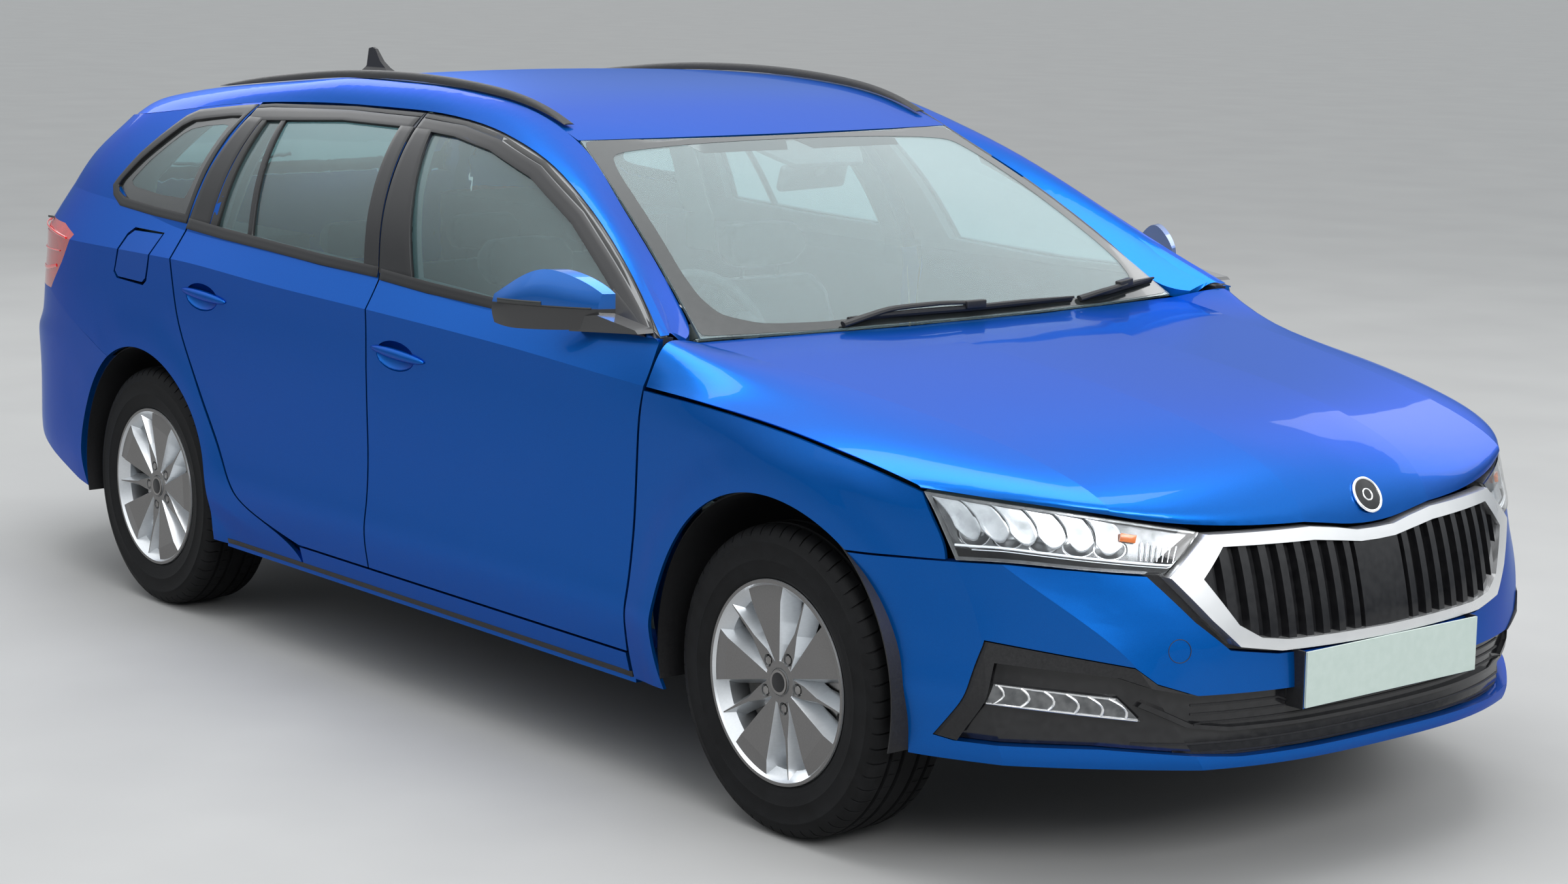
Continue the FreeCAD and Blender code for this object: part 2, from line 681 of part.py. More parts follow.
bonnetUnder = bonnetInner(bonnetLines)
bonnetBands = []
for first, last in ((0, 5), (5, 8), (8, 14), (14, 17), (17, 22)):
    bonnetBands.append((bonnetLines[first:last + 1], bonnetUnder[first:last + 1]))
bonnet = layered(bonnetBands)
save(bonnet, "bonnet_panel")
print("bonnet")


# roof and windscreen, sharing the line where they meet
def roofGrid():
    side = spread(roofEdge[4:], 15)
    grid = []
    for k, (x, y, z) in enumerate(side):
        forward = 49 * max(0.0, 1 - k / 5)
        middle = along(roofMiddle, x + forward)
        line = []
        for w in steps(-1, 1, 13):
            bow = 1 - w * w
            line.append(FreeCAD.Vector(x + forward * bow, (y - 2.5) * w, z + (middle - z) * bow))
        grid.append(line)
    return grid


roofOuter = roofGrid()
roof = layered([(roofOuter, offsetGrid(roofOuter, 18))])
save(roof, "roof_panel")

screenEdge = spread(roofEdge[1:5], 7)
screenMiddle = [(1098, 976), (990, 1046), (878, 1114), (764, 1180), (648, 1242), (528, 1300), (409, 1350)]


def screenGrid():
    grid = []
    for (sx, sy, sz), (cx, cz) in zip(screenEdge, screenMiddle):
        line = []
        for k in range(-6, 7):
            w = k / 6
            bow = 1 - w * w
            line.append(FreeCAD.Vector(sx + (cx - sx) * bow + 2, (sy - 8) * w, sz + (cz - sz) * bow - 1))
        grid.append(line)
    return grid


screenOuter = screenGrid()
save(layered([(screenOuter, shifted(screenOuter, -3, 0, -5))]), "windscreen")
print("roof and windscreen")


# lines down the bumper skin from the right wheel arch round to the left one, with a flat facet between
# the corner crease and the facet edge; each line holds the heights, bottom to top
def bumperLines(heights, push):
    corner = [along(cornerCrease, z) for z in heights]
    facet = [along(facetEdge, z) for z in heights]
    lines = []
    for s in steps(0, 1, 5):
        lines.append([nosePoint(bumperStart + (a - bumperStart) * s, z, push) for a, z in zip(corner, heights)])
    for s in (1 / 3, 2 / 3, 1):
        line = []
        for a, b, z in zip(corner, facet, heights):
            curve = nosePoint(a + (b - a) * s, z, push)
            one = nosePoint(a, z, push)
            chord = one.add(nosePoint(b, z, push).sub(one).multiply(s))
            line.append(curve.add(chord.sub(curve).multiply(facetFlatness)))
        lines.append(line)
    for s in (0.2, 0.4, 0.6, 0.8, 1):
        lines.append([nosePoint(b + (90 - b) * s, z, push) for b, z in zip(facet, heights)])
    left = [[FreeCAD.Vector(p.x, -p.y, p.z) for p in line] for line in reversed(lines[:-1])]
    return lines + left


def bumperShell(outerPush, innerPush, heights=bumperHeights):
    outer = bumperLines(heights, outerPush)
    inner = bumperLines(heights, innerPush)
    bands = []
    for first, last in ((0, 4), (4, 7), (7, 17), (17, 20), (20, 24)):
        bands.append((outer[first:last + 1], inner[first:last + 1]))
    return layered(bands)


# front bumper and what it carries
archBoth = both(archCut(frontArch, 400))
aboveSeam = [(2500, 628), (2215, 628), (2110, 642), (2005, 650), (1905, 647), (1738, 640), (1500, 634), (1500, 900),
             (2500, 900)]
grilleHole = wholeOutline([(0, 740), (-430, 740), (-552, 640), (-470, 544), (-405, 486), (-300, 471), (0, 468)])
openingLine = [(0, 399), (-473, 403.5), (-546, 430), (-582, 462), (-774, 502), (-817, 303), (-798, 296),
               (-619, 297), (-388, 279), (0, 281)]
trimLine = [(-772, 499), (-583, 460), (-547, 428), (-473, 402), (-555, 421), (-605, 442), (-766, 460), (-797, 298),
            (-815, 304)]
meshLine = [(0, 398), (-473, 402), (-555, 421), (-605, 442), (-766, 460), (-797, 298), (-619, 299), (-388, 281),
            (0, 283)]
fogLine = [(-758, 416), (-596, 398), (-558, 352), (-769, 376)]
ridgeLine = [(0, 323), (-240, 324), (-400, 326), (-482, 338), (-565, 382), (-560, 390), (-474, 345), (-398, 334),
             (-240, 331), (0, 330)]


def noseCut(outline):
    return frontPrism(outline, 1700, halfLength + 200)


frontBumper = bumperShell(0, -30).cut([archBoth, box(1000, 1600, -outsideY, outsideY, 0, 900),
                                       sidePrism(aboveSeam, -outsideY, outsideY)])
frontBumper = frontBumper.cut([noseCut(grilleHole), noseCut(wholeOutline(openingLine))])
plinth = box(2305, halfLength - plateDepth - 0.3, -plateHalf - 2, plateHalf + 2, plateLow - 2, plateTop - 7)
frontBumper = frontBumper.fuse(plinth)
save(frontBumper, "front_bumper")
trimShell = bumperShell(3, -21.5).cut(archBoth)
save(both(trimShell.common(noseCut(trimLine))), "bumper_trims")
fogPrism = both(noseCut(fogLine))
save(bumperShell(-12, -30).common(fogPrism), "fog_lamps")
mesh = bumperShell(-22, -32).common(noseCut(wholeOutline(meshLine))).cut([fogPrism, archBoth])
mesh = mesh.cut(box(2200, halfLength, -plateHalf - 3, plateHalf + 3, plateLow - 3, plateTop))
ridge = bumperShell(-12, -24).common(noseCut(wholeOutline(ridgeLine))).cut(fogPrism)
save(mesh.fuse(ridge), "lower_grille")
save(box(halfLength - plateDepth, halfLength, -plateHalf, plateHalf, plateLow, plateTop), "front_plate")

# grille: a frame that stands proud, a backing and upright slats that follow the nose
grilleHeights = [455, 480, 510, 550, 600, 640, 670, 712]
grilleAngles = [54, 58, 62, 66, 69, 72, 75, 78, 81, 84, 87, 90]
frameOuter = wholeOutline([(0, 682), (-56, 683), (-110, 692.5), (-183, 702), (-425, 706), (-512, 630), (-445, 548),
                           (-392, 494), (-300, 479), (0, 474)])
frameInner = wholeOutline([(0, 660), (-52, 661), (-105, 668), (-180, 677), (-400, 683), (-452, 626), (-392, 536),
                           (-345, 508), (-280, 499), (0, 494)])


def grilleShell(outerPush, innerPush):
    outer = noseGrid(grilleAngles, grilleHeights, outerPush)
    return layered([(outer, noseGrid(grilleAngles, grilleHeights, innerPush))])


grilleFrame = grilleShell(8, -20).common(noseCut(frameOuter)).cut(noseCut(frameInner))
save(grilleFrame, "grille_frame")
backingLine = wholeOutline([(0, 678), (-56, 679), (-110, 688), (-183, 697), (-428, 702), (-543, 632), (-467, 545),
                            (-403, 488), (-300, 473), (0, 470)])
backing = grilleShell(-20.3, -28).common(noseCut(backingLine))
slatShell = grilleShell(-1, -21).common(noseCut(frameInner))
slatTools = []
for k in range(-10, 11):
    if abs(k) > 1:
        slatTools.append(box(1900, halfLength, k * slatPitch - slatHalf, k * slatPitch + slatHalf, 400, 760))
slatTools.append(box(1900, halfLength, -1.5 * slatPitch, 1.5 * slatPitch, 400, 760))
slats = slatShell.common(Part.makeCompound(slatTools))
save(backing.fuse(slats.Solids), "grille_slats")
print("bumper and grille")


# headlamps between the wing, the bonnet and the bumper: housing with bowls, then a clear lens
def lampGrid(push, shrink=0.0):
    grid = []
    for t in steps(shrink, 1 - shrink, 6):
        line = []
        for s in steps(shrink / 3, 1 - shrink / 3, 9):
            lowAngle = lampLowAngles[0] + (lampLowAngles[1] - lampLowAngles[0]) * s
            highAngle = lampTopAngles[0] + (lampTopAngles[1] - lampTopAngles[0]) * s
            low = (lowAngle, along(lampLowHeights, lowAngle))
            high = (highAngle, along(lampTopHeights, highAngle))
            line.append(nosePoint(low[0] + (high[0] - low[0]) * t, low[1] + (high[1] - low[1]) * t, push))
        grid.append(line)
    return grid


housing = layered([(lampGrid(-4.3), lampGrid(-60))])
lampRecess = layered([(lampGrid(-2, 0.05), lampGrid(-16, 0.05))])
bowls = []
linings = []
for s in (0.1, 0.26, 0.42, 0.58, 0.72):
    lowAngle = lampLowAngles[0] + (lampLowAngles[1] - lampLowAngles[0]) * s
    z = along(lampLowHeights, lowAngle) + bowlRise - 18 * s
    centre = nosePoint(lowAngle, z, -14)
    bowls.append(stretchedBall(centre.x, centre.y, centre.z, 34, 34, 32 - 14 * s))
    lining = stretchedBall(centre.x, centre.y, centre.z, 33.6, 33.6, 31.6 - 14 * s)
    linings.append(lining.cut(stretchedBall(centre.x, centre.y, centre.z, 31.5, 31.5, 29.5 - 14 * s)))
lampRoom = layered([(lampGrid(-22, 0.02), lampGrid(-59, 0.02))])
besideGrille = noseCut([(-300, 800), (-431, 713), (-520, 632), (-440, 540), (-300, 540)])
besideBacking = noseCut([(-300, 800), (-436, 713), (-558, 632), (-470, 540), (-300, 540)])
housing = housing.cut(bowls + [lampRecess, besideBacking])
lens = layered([(lampGrid(-1), lampGrid(-4))]).cut(besideGrille)
save(both(housing), "headlamps")
save(both(lens), "headlamp_lenses")
save(both(Part.makeCompound([bowl.common(lampRoom) for bowl in linings])), "lamp_reflectors")
print("lamps")

# rear bumper, tailgate and rear glass
rearAngles = [0.3, 1.5, 4, 8, 13, 18, 24, 30, 36, 42, 48, 54, 60, 66, 72, 78, 84, 90]
rearHeights = [240, 265, 300, 360, 430, 520, 600, 650, 689, 720, 760, 812]
rearShell = layered([(tailGrid(rearAngles, rearHeights, 0), tailGrid(rearAngles, rearHeights, -30))])
aboveRearSeam = [(rearArch["x"], 900)] + [(x, z - 0.5) for x, z in rearSeam] + [(-2400, 811.5), (-2400, 900)]
belowRear = [(-1300, 100), (-1300, 250), (-1500, 262), (-1650, 285), (-1830, 330), (-2000, 372), (-2400, 384), (-2400, 100)]
gateCorner = -tailPoint(gateAngle - 1, 760).y
rearShell = rearShell.cut([both(archCut(rearArch, 500)), sidePrism(aboveRearSeam, -outsideY, outsideY), sidePrism(belowRear, -outsideY, outsideY),
                           box(-2400, -1900, -gateCorner, gateCorner, 689.6, 900)])
save(rearShell, "rear_bumper")
gateAngles = [gateAngle, 54, 60, 66, 72, 78, 84, 90]
gateHeights = [696, 722, 760, 830, 900, 960, 1010, 1060, 1110, 1160, 1210, 1260, 1300, 1328]
gateInner = [54, 58, 63, 68, 73, 79, 84, 90]


# skin of the tailgate, whose top edge rises to the middle
def gateGrid(angles, push):
    grid = []
    for z in gateHeights:
        line = []
        for angle in angles:
            inward = (angle - angles[0]) / (90 - angles[0])
            crown = gateCrown * (1 - (1 - inward) ** 2) * max(z - 1210, 0) / (gateHeights[-1] - 1210)
            line.append(tailPoint(angle, z + crown, push))
        left = [FreeCAD.Vector(p.x, -p.y, p.z) for p in reversed(line[:-1])]
        grid.append(line + left)
    return grid


gate = layered([(gateGrid(gateAngles, 0), gateGrid(gateInner, -30))])
rearHole = [(-590, 1075), (-500, 1275), (500, 1275), (590, 1075)]
gateGlass = layered([(gateGrid(gateAngles, -6), gateGrid(gateAngles, -10))])
gateGlass = gateGlass.common(frontPrism(rearHole, -2500, -1500))
gate = gate.cut(frontPrism(rearHole, -2500, -1500))
spoilerRows = [dict(x=-1707, side=528, middle=1380, edge=1349), dict(x=-1760, side=520, middle=1375, edge=1343),
               dict(x=-1820, side=505, middle=1368, edge=1335), dict(x=-1880, side=480, middle=1358, edge=1326)]
spoilerGrid = []
for row in spoilerRows:
    line = []
    for w in steps(-1, 1, 13):
        forward = (1 - w * w) * 20
        z = row["edge"] + (row["middle"] - row["edge"]) * (1 - w * w)
        line.append(FreeCAD.Vector(row["x"] - forward * (row["x"] < -1710), row["side"] * w, z))
    spoilerGrid.append(line)
spoiler = layered([(spoilerGrid, shifted(spoilerGrid, 0, 0, -24))])
gate = gate.fuse(spoiler)
save(gate, "tailgate_panel")
save(gateGlass, "tailgate_glass")
print("tail")


# rails along the roof and the aerial fin
def roofHeight(x, y):
    edge = [(a, c) for a, b, c in roofEdge]
    side = along([(a, b) for a, b, c in roofEdge], x)
    return along(edge, x) + (along(roofMiddle, x) - along(edge, x)) * (1 - (y / side) ** 2)


railStations = [(291, 3), (250, 8), (180, 13), (60, 17), (-120, 19), (-306, 20), (-500, 20), (-740, 20), (-960, 19),
                (-1150, 16), (-1290, 9), (-1361, 3)]
railOuter = []
railInner = []
for x, rise in railStations:
    seat = roofHeight(x, railY) + railLift
    profile = ((-railHalf, 0.1), (-railHalf + 2, rise * 0.8), (0, rise * 1.15), (railHalf - 2, rise * 0.8), (railHalf, 0.1))
    railOuter.append([FreeCAD.Vector(x, -railY + y, seat + up) for y, up in profile])
    railInner.append([FreeCAD.Vector(x, -railY + y, seat) for y, up in profile])
save(both(layered([(railOuter, railInner)])), "roof_rails")
finSide = [(-1540, 1384), (-1320, 1390), (-1322, 1404), (-1380, 1424), (-1430, 1454), (-1460, 1488), (-1476, 1493),
           (-1496, 1489), (-1502, 1440), (-1530, 1414), (-1540, 1402)]
finFront = [(-30, 1380), (-30, 1400), (-24, 1412), (-9, 1436), (-4, 1493), (4, 1493), (9, 1436), (24, 1412),
            (30, 1400), (30, 1380)]
fin = sidePrism(finSide, -40, 40).common(frontPrism(finFront, -1600, -1300)).cut(roof)
save(sorted(fin.Solids, key=lambda solid: solid.BoundBox.ZMax)[-1], "roof_antenna")


# wheel arch liners
def liner(arch):
    start = FreeCAD.Vector(arch["x"], -linerOutside, arch["z"])
    reach = linerOutside - 480
    outer = Part.makeCylinder(arch["radius"], reach, start, across)
    inner = Part.makeCylinder(arch["radius"] - sheet, reach, start, across)
    wide = arch["radius"] + 20
    lower = box(arch["x"] - wide, arch["x"] + wide, -linerOutside - 20, -400, -100, 262)
    return outer.cut(inner).cut(lower)


save(both(liner(frontArch)), "front_liners")
save(both(liner(rearArch)), "rear_liners")

# door mirrors, folded back as they stand when parked: head along a slanting line, foot on the door
headStart = (890.0, -880.0)
headEnd = (645.0, -997.0)
headSections = [
    dict(at=0.0, low=1004, high=1066, deep=26), dict(at=0.08, low=990, high=1084, deep=48),
    dict(at=0.25, low=984, high=1104, deep=66), dict(at=0.48, low=981, high=1118, deep=70),
    dict(at=0.7, low=979, high=1098, deep=58), dict(at=0.88, low=979, high=1068, deep=38),
    dict(at=1.0, low=988, high=1050, deep=16)]
headLength = math.dist(headStart, headEnd)
headAlong = ((headEnd[0] - headStart[0]) / headLength, (headEnd[1] - headStart[1]) / headLength)
headOut = (-headAlong[1] * -1, headAlong[0])


def mirrorHead():
    outer = []
    inner = []
    for share in steps(0, 1, 6):
        outerLine = []
        innerLine = []
        for cut in headSections:
            x = headStart[0] + headAlong[0] * headLength * cut["at"]
            y = headStart[1] + headAlong[1] * headLength * cut["at"]
            z = cut["low"] + (cut["high"] - cut["low"]) * share
            swell = math.sin(math.pi * (0.12 + 0.76 * share))
            bulge = cut["deep"] * swell * 0.62
            outerLine.append(FreeCAD.Vector(x - headAlong[1] * bulge * -1, y - headAlong[0] * bulge * -1, z))
            innerLine.append(FreeCAD.Vector(x + headAlong[1] * 22 * -1, y + headAlong[0] * 22 * -1, z))
        outer.append(outerLine)
        inner.append(innerLine)
    return layered([(outer, inner)])


footOutline = [(800, 979), (1050, 999), (1040, 1006), (900, 1024), (800, 1010)]
mirror = mirrorHead().fuse(sidePrism(footOutline, -912, -862)).cut(frontDoor).cut(frontGlass)
mirror = sorted(mirror.Solids, key=lambda solid: solid.Volume)[-1]
save(mirror, "mirror_right")
save(mirrored(mirror), "mirror_left")
print("mirrors")

# floor, scuttle and bulkhead
floor = box(-900, 1085, -cabinHalf, cabinHalf, 225, 245)
loadFloor = box(-2150, -900, -480, 480, 400, 420)
riser = box(-920, -900, -480, 480, 245, 400)
save(group(floor, loadFloor, riser), "floor_pan")
bulkheadLow = box(1085, 1105, -480, 480, 245, 880)
bulkheadHigh = both(box(1085, 1105, -cabinHalf, -480, 725, 880))
save(bulkheadLow.fuse(bulkheadHigh), "bulkhead")
save(box(1010, 1084.7, -cabinHalf - 20, cabinHalf + 20, 860, 900), "scuttle_panel")
save(box(1430, 1950, -330, 330, 300, 790), "engine_block")
save(box(2060, 2100, -480, 480, 300, 620), "radiator_panel")
save(box(700, 1009.7, -cabinHalf, cabinHalf, 720, 925), "dashboard")
seat = group(box(-60, 430, -640, -120, 245.3, 500), box(-200, -60.3, -640, -120, 300, 1080))
save(both(seat), "front_seats")
bench = box(-850, -420, -640, 640, 245.3, 540)
benchBack = box(-955, -850.3, -640, 640, 640, 1060).fuse(box(-955, -850.3, -478, 478, 420.3, 700))
save(group(bench, benchBack), "rear_seats")
print("inside")

# wheels: tyre and rim profiles (radius, y) with the outer side at negative y
tyreSides = 60
tyreProfile = [(206, -86), (216, -91), (240, -100), (272, -102.5), (303, -97), (318, -86), (tyreRadius, -66),
               (tyreRadius, 66), (314, 90), (272, 102.5), (206, 86)]
rimProfile = [(204.8, -90), (204.8, 90), (190, 90), (184, 60), (184, -72), (203, -94), (206, -98), (213, -98),
              (214, -94), (207, -92)]
spokeDraft = 15.0
spokeBack = -48.0
# broad and narrow spokes as sections along the radius: distance out, half width in front, height of the face
broadSections = [dict(out=40, half=6, face=-84), dict(out=165, half=46, face=-95), dict(out=208, half=61, face=-91)]
narrowSections = [dict(out=36, half=17, face=-82), dict(out=74, half=14, face=-82), dict(out=118, half=4, face=-84),
                  dict(out=208, half=1, face=-92)]
spokeTurns = dict(front=-11.5, rear=14.3)
lugRing = 55.0
lugRadius = 13.5


def ring(profile):
    points = [FreeCAD.Vector(r, y, 0) for r, y in profile]
    face = Part.Face(Part.makePolygon(points + [points[0]]))
    return face.revolve(FreeCAD.Vector(0, 0, 0), across, 360)


# ring whose round is made of equal flats
def flatRing(profile, sides):
    faces = []
    for k in range(sides):
        for one, two in zip(profile, profile[1:] + profile[:1]):
            corners = []
            for (r, y), turn in ((one, k), (two, k), (two, k + 1), (one, k + 1)):
                angle = 2 * math.pi * (turn % sides) / sides
                corners.append(FreeCAD.Vector(r * math.sin(angle), y, r * math.cos(angle)))
            faces.append(Part.Face(Part.makePolygon(corners + [corners[0]])))
    return sewn(faces)


def spoke(sections):
    wires = []
    for s in sections:
        front = s["half"]
        back = front + spokeDraft
        ring = [(-front, s["face"]), (front, s["face"]), (back, spokeBack), (-back, spokeBack)]
        points = [FreeCAD.Vector(x, y, s["out"]) for x, y in ring]
        wires.append(Part.makePolygon(points + [points[0]]))
    return Part.makeLoft(wires, True, True)


def turned(shape, angle):
    out = shape.copy()
    out.rotate(FreeCAD.Vector(0, 0, 0), across, angle)
    return out


def cylinderY(radius, y0, y1, x=0.0, z=0.0):
    return Part.makeCylinder(radius, y1 - y0, FreeCAD.Vector(x, y0, z), across)


spokes = []
lugHoles = []
for k in range(5):
    spokes.append(turned(spoke(broadSections), 72 * k))
    spokes.append(turned(spoke(narrowSections), 72 * k + 36))
    lugHoles.append(turned(cylinderY(lugRadius, -100, -60, 0, lugRing), 72 * k + 36))
hub = cylinderY(44, -84, -40).fuse(cylinderY(76, -62, -40))
star = spokes[0].fuse(spokes[1:] + [hub]).common(cylinderY(204.5, -110, 0))
star = star.cut(lugHoles + [cylinderY(30, -90, -80), cylinderY(stubRadius + 0.3, -65, 0)])
star = star.fuse(cylinderY(27, -86, -75))
rim = ring(rimProfile).fuse(star)
tyre = flatRing(tyreProfile, tyreSides)
wheels = [dict(name="front_right", axle="front", x=frontAxleX, side=-1),
          dict(name="front_left", axle="front", x=frontAxleX, side=1),
          dict(name="rear_right", axle="rear", x=rearAxleX, side=-1),
          dict(name="rear_left", axle="rear", x=rearAxleX, side=1)]
for wheel in wheels:
    for part, label in ((tyre, "tyre_"), (turned(rim, spokeTurns[wheel["axle"]]), "rim_")):
        moved = part.copy()
        if wheel["side"] > 0:
            moved = mirrored(moved)
        moved.translate(FreeCAD.Vector(wheel["x"], wheel["side"] * wheelCentreY, axleZ))
        save(moved, label + wheel["name"])


# what carries the wheels
def stub(x):
    end = wheelCentreY + 60
    return Part.makeCylinder(stubRadius, end - wheelCentreY + 11.5, FreeCAD.Vector(x, -end, axleZ), across)


up = FreeCAD.Vector(0, 0, 1)
knuckle = box(frontAxleX - 45, frontAxleX + 45, -800, -705, 200, 440).fuse(stub(frontAxleX))
knuckle = knuckle.cut(Part.makeCylinder(12.3, 60, FreeCAD.Vector(frontAxleX, -kingpinY, 190), up))
save(knuckle, "knuckle_right")
save(mirrored(knuckle), "knuckle_left")
lowerArm = box(frontAxleX - 25, frontAxleX + 25, -775, -470, 170, 192)
lowerArm = lowerArm.fuse(Part.makeCylinder(12, 60, FreeCAD.Vector(frontAxleX, -kingpinY, 180), up))
armPost = box(frontAxleX - 25, frontAxleX + 25, -470, -400, 170, 250)
railLow = box(1105.3, 2059.7, -470, -400, 250, 310)
crossMember = box(frontAxleX - 60, frontAxleX + 60, -400, 400, 240, 300)
carrier = lowerArm.fuse([armPost, railLow])
save(crossMember.fuse([carrier, mirrored(carrier)]), "front_subframe")
beam = box(rearAxleX - 50, rearAxleX + 50, -675, 675, 280, 340)
hanger = box(rearAxleX - 30, rearAxleX + 30, -380, -320, 330, 399.7)
hubBlock = box(rearAxleX - 60, rearAxleX + 60, -780, -675, 266, 386).fuse(stub(rearAxleX))
save(beam.fuse([hanger, mirrored(hanger), hubBlock, mirrored(hubBlock)]), "rear_axle")
print("wheels")
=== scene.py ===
import bpy
import math
import json
import numpy as np
from mathutils import Vector, Matrix
from mathutils.bvhtree import BVHTree


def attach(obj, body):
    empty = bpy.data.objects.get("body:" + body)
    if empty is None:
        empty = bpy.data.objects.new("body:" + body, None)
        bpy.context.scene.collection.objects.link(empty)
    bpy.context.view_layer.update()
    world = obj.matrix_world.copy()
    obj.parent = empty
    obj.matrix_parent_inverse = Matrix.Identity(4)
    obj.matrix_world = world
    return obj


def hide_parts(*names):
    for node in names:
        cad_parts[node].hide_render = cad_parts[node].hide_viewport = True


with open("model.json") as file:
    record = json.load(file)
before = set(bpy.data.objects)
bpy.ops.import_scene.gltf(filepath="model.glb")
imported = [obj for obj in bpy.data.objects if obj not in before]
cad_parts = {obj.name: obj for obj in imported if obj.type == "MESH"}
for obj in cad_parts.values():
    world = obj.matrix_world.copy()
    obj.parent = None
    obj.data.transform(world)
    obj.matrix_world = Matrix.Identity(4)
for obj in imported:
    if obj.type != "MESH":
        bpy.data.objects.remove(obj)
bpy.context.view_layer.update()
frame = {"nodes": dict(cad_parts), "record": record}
nodes = frame["nodes"]
print("frame loaded")

# camera at the photograph's place
cameraSetup = dict(place=(6.029, -4.5991, 1.8298), turn=140.82, tilt=-9.533, roll=0.669, lens=68.35,
                   shiftX=0.00659, shiftY=-0.00497)


def addCamera(setup):
    turn, tilt, roll = (math.radians(setup[k]) for k in ("turn", "tilt", "roll"))
    look = Vector((math.cos(tilt) * math.cos(turn), math.cos(tilt) * math.sin(turn), math.sin(tilt)))
    right = look.cross(Vector((0, 0, 1))).normalized()
    up = right.cross(look)
    rightRolled = right * math.cos(roll) + up * math.sin(roll)
    upRolled = up * math.cos(roll) - right * math.sin(roll)
    data = bpy.data.cameras.new("camera")
    data.lens = setup["lens"]
    data.sensor_width = 36
    data.shift_x = setup["shiftX"]
    data.shift_y = setup["shiftY"]
    data.clip_start = 0.1
    data.clip_end = 600
    camera = bpy.data.objects.new("camera", data)
    bpy.context.collection.objects.link(camera)
    turned = Matrix((rightRolled, upRolled, -look)).transposed().to_4x4()
    camera.matrix_world = Matrix.Translation(setup["place"]) @ turned
    bpy.context.scene.camera = camera


addCamera(cameraSetup)

# light: an even sky that is brightest overhead, and five soft lamps
skySetup = dict(zenith=(0.95, 0.98, 1.0), horizon=(0.12, 0.135, 0.15), strength=1.45)
lampSetup = [
    dict(name="topLight", place=(0.5, -0.5, 6.5), size=7.0, sizeY=4.5, power=470, aim=(0, 0, 0.6)),
    dict(name="sideLight", place=(1.0, -8.0, 4.6), size=8.0, sizeY=2.0, power=14, aim=(0, 0, 0.7)),
    dict(name="frontLight", place=(8.5, -2.0, 4.8), size=6.0, sizeY=2.5, power=480, aim=(0.5, 0, 0.6)),
    dict(name="rearLight", place=(-8.0, 2.0, 4.5), size=5.0, sizeY=2.5, power=110, aim=(0, 0, 0.6)),
    dict(name="farLight", place=(0.0, 8.0, 4.5), size=6.0, sizeY=2.5, power=90, aim=(0, 0, 0.6))]


def addLamps(setups):
    for setup in setups:
        data = bpy.data.lights.new(setup["name"], "AREA")
        data.shape = "RECTANGLE"
        data.size = setup["size"]
        data.size_y = setup["sizeY"]
        data.energy = setup["power"]
        lamp = bpy.data.objects.new(setup["name"], data)
        bpy.context.collection.objects.link(lamp)
        lamp.location = setup["place"]
        aim = Vector(setup["aim"]) - Vector(setup["place"])
        lamp.rotation_euler = aim.to_track_quat("-Z", "Y").to_euler()


def addSky(setup):
    world = bpy.data.worlds.new("sky")
    bpy.context.scene.world = world
    world.use_nodes = True
    tree = world.node_tree
    background = tree.nodes["Background"]
    background.inputs["Strength"].default_value = setup["strength"]
    place = tree.nodes.new("ShaderNodeTexCoord")
    split = tree.nodes.new("ShaderNodeSeparateXYZ")
    ramp = tree.nodes.new("ShaderNodeValToRGB")
    tree.links.new(place.outputs["Generated"], split.inputs["Vector"])
    tree.links.new(split.outputs["Z"], ramp.inputs["Fac"])
    ramp.color_ramp.elements[0].position = 0.0
    ramp.color_ramp.elements[0].color = (*setup["horizon"], 1)
    ramp.color_ramp.elements[1].position = 0.55
    ramp.color_ramp.elements[1].color = (*setup["zenith"], 1)
    tree.links.new(ramp.outputs["Color"], background.inputs["Color"])


bpy.context.scene.view_settings.view_transform = "Standard"
addLamps(lampSetup)
addSky(skySetup)
print("camera, lamps and sky")


# materials: every one starts from a principled shader with noise in object coordinates
def newMaterial(name, values):
    material = bpy.data.materials.new(name)
    material.use_nodes = True
    shader = material.node_tree.nodes["Principled BSDF"]
    for socket, value in values.items():
        shader.inputs[socket].default_value = value
    return material, material.node_tree, shader


def objectPlace(tree, output="Object"):
    return tree.nodes.new("ShaderNodeTexCoord").outputs[output]


def axesOf(tree, source):
    split = tree.nodes.new("ShaderNodeSeparateXYZ")
    tree.links.new(source, split.inputs["Vector"])
    return split.outputs


def noiseInto(tree, scale, stretch=(1, 1, 1)):
    mapping = tree.nodes.new("ShaderNodeMapping")
    mapping.inputs["Scale"].default_value = stretch
    noise = tree.nodes.new("ShaderNodeTexNoise")
    for socket, value in (("Scale", scale), ("Detail", 3.0), ("Roughness", 0.5)):
        noise.inputs[socket].default_value = value
    tree.links.new(objectPlace(tree), mapping.inputs["Vector"])
    tree.links.new(mapping.outputs["Vector"], noise.inputs["Vector"])
    return noise.outputs["Fac"]


def rampInto(tree, source, low, high, at=(0.3, 0.7)):
    ramp = tree.nodes.new("ShaderNodeValToRGB")
    for element, colour, position in zip(ramp.color_ramp.elements, (low, high), at):
        element.position = position
        element.color = (*colour, 1)
    tree.links.new(source, ramp.inputs["Fac"])
    return ramp.outputs["Color"]


def spreadInto(tree, source, ends, start=(0.0, 1.0)):
    spread = tree.nodes.new("ShaderNodeMapRange")
    for socket, value in zip(("From Min", "From Max", "To Min", "To Max"), (*start, *ends)):
        spread.inputs[socket].default_value = value
    tree.links.new(source, spread.inputs["Value"])
    return spread.outputs["Result"]


def mathInto(tree, operation, *values):
    step = tree.nodes.new("ShaderNodeMath")
    step.operation = operation
    for socket, value in zip(step.inputs, values):
        if isinstance(value, (int, float)):
            socket.default_value = value
        else:
            tree.links.new(value, socket)
    return step.outputs["Value"]


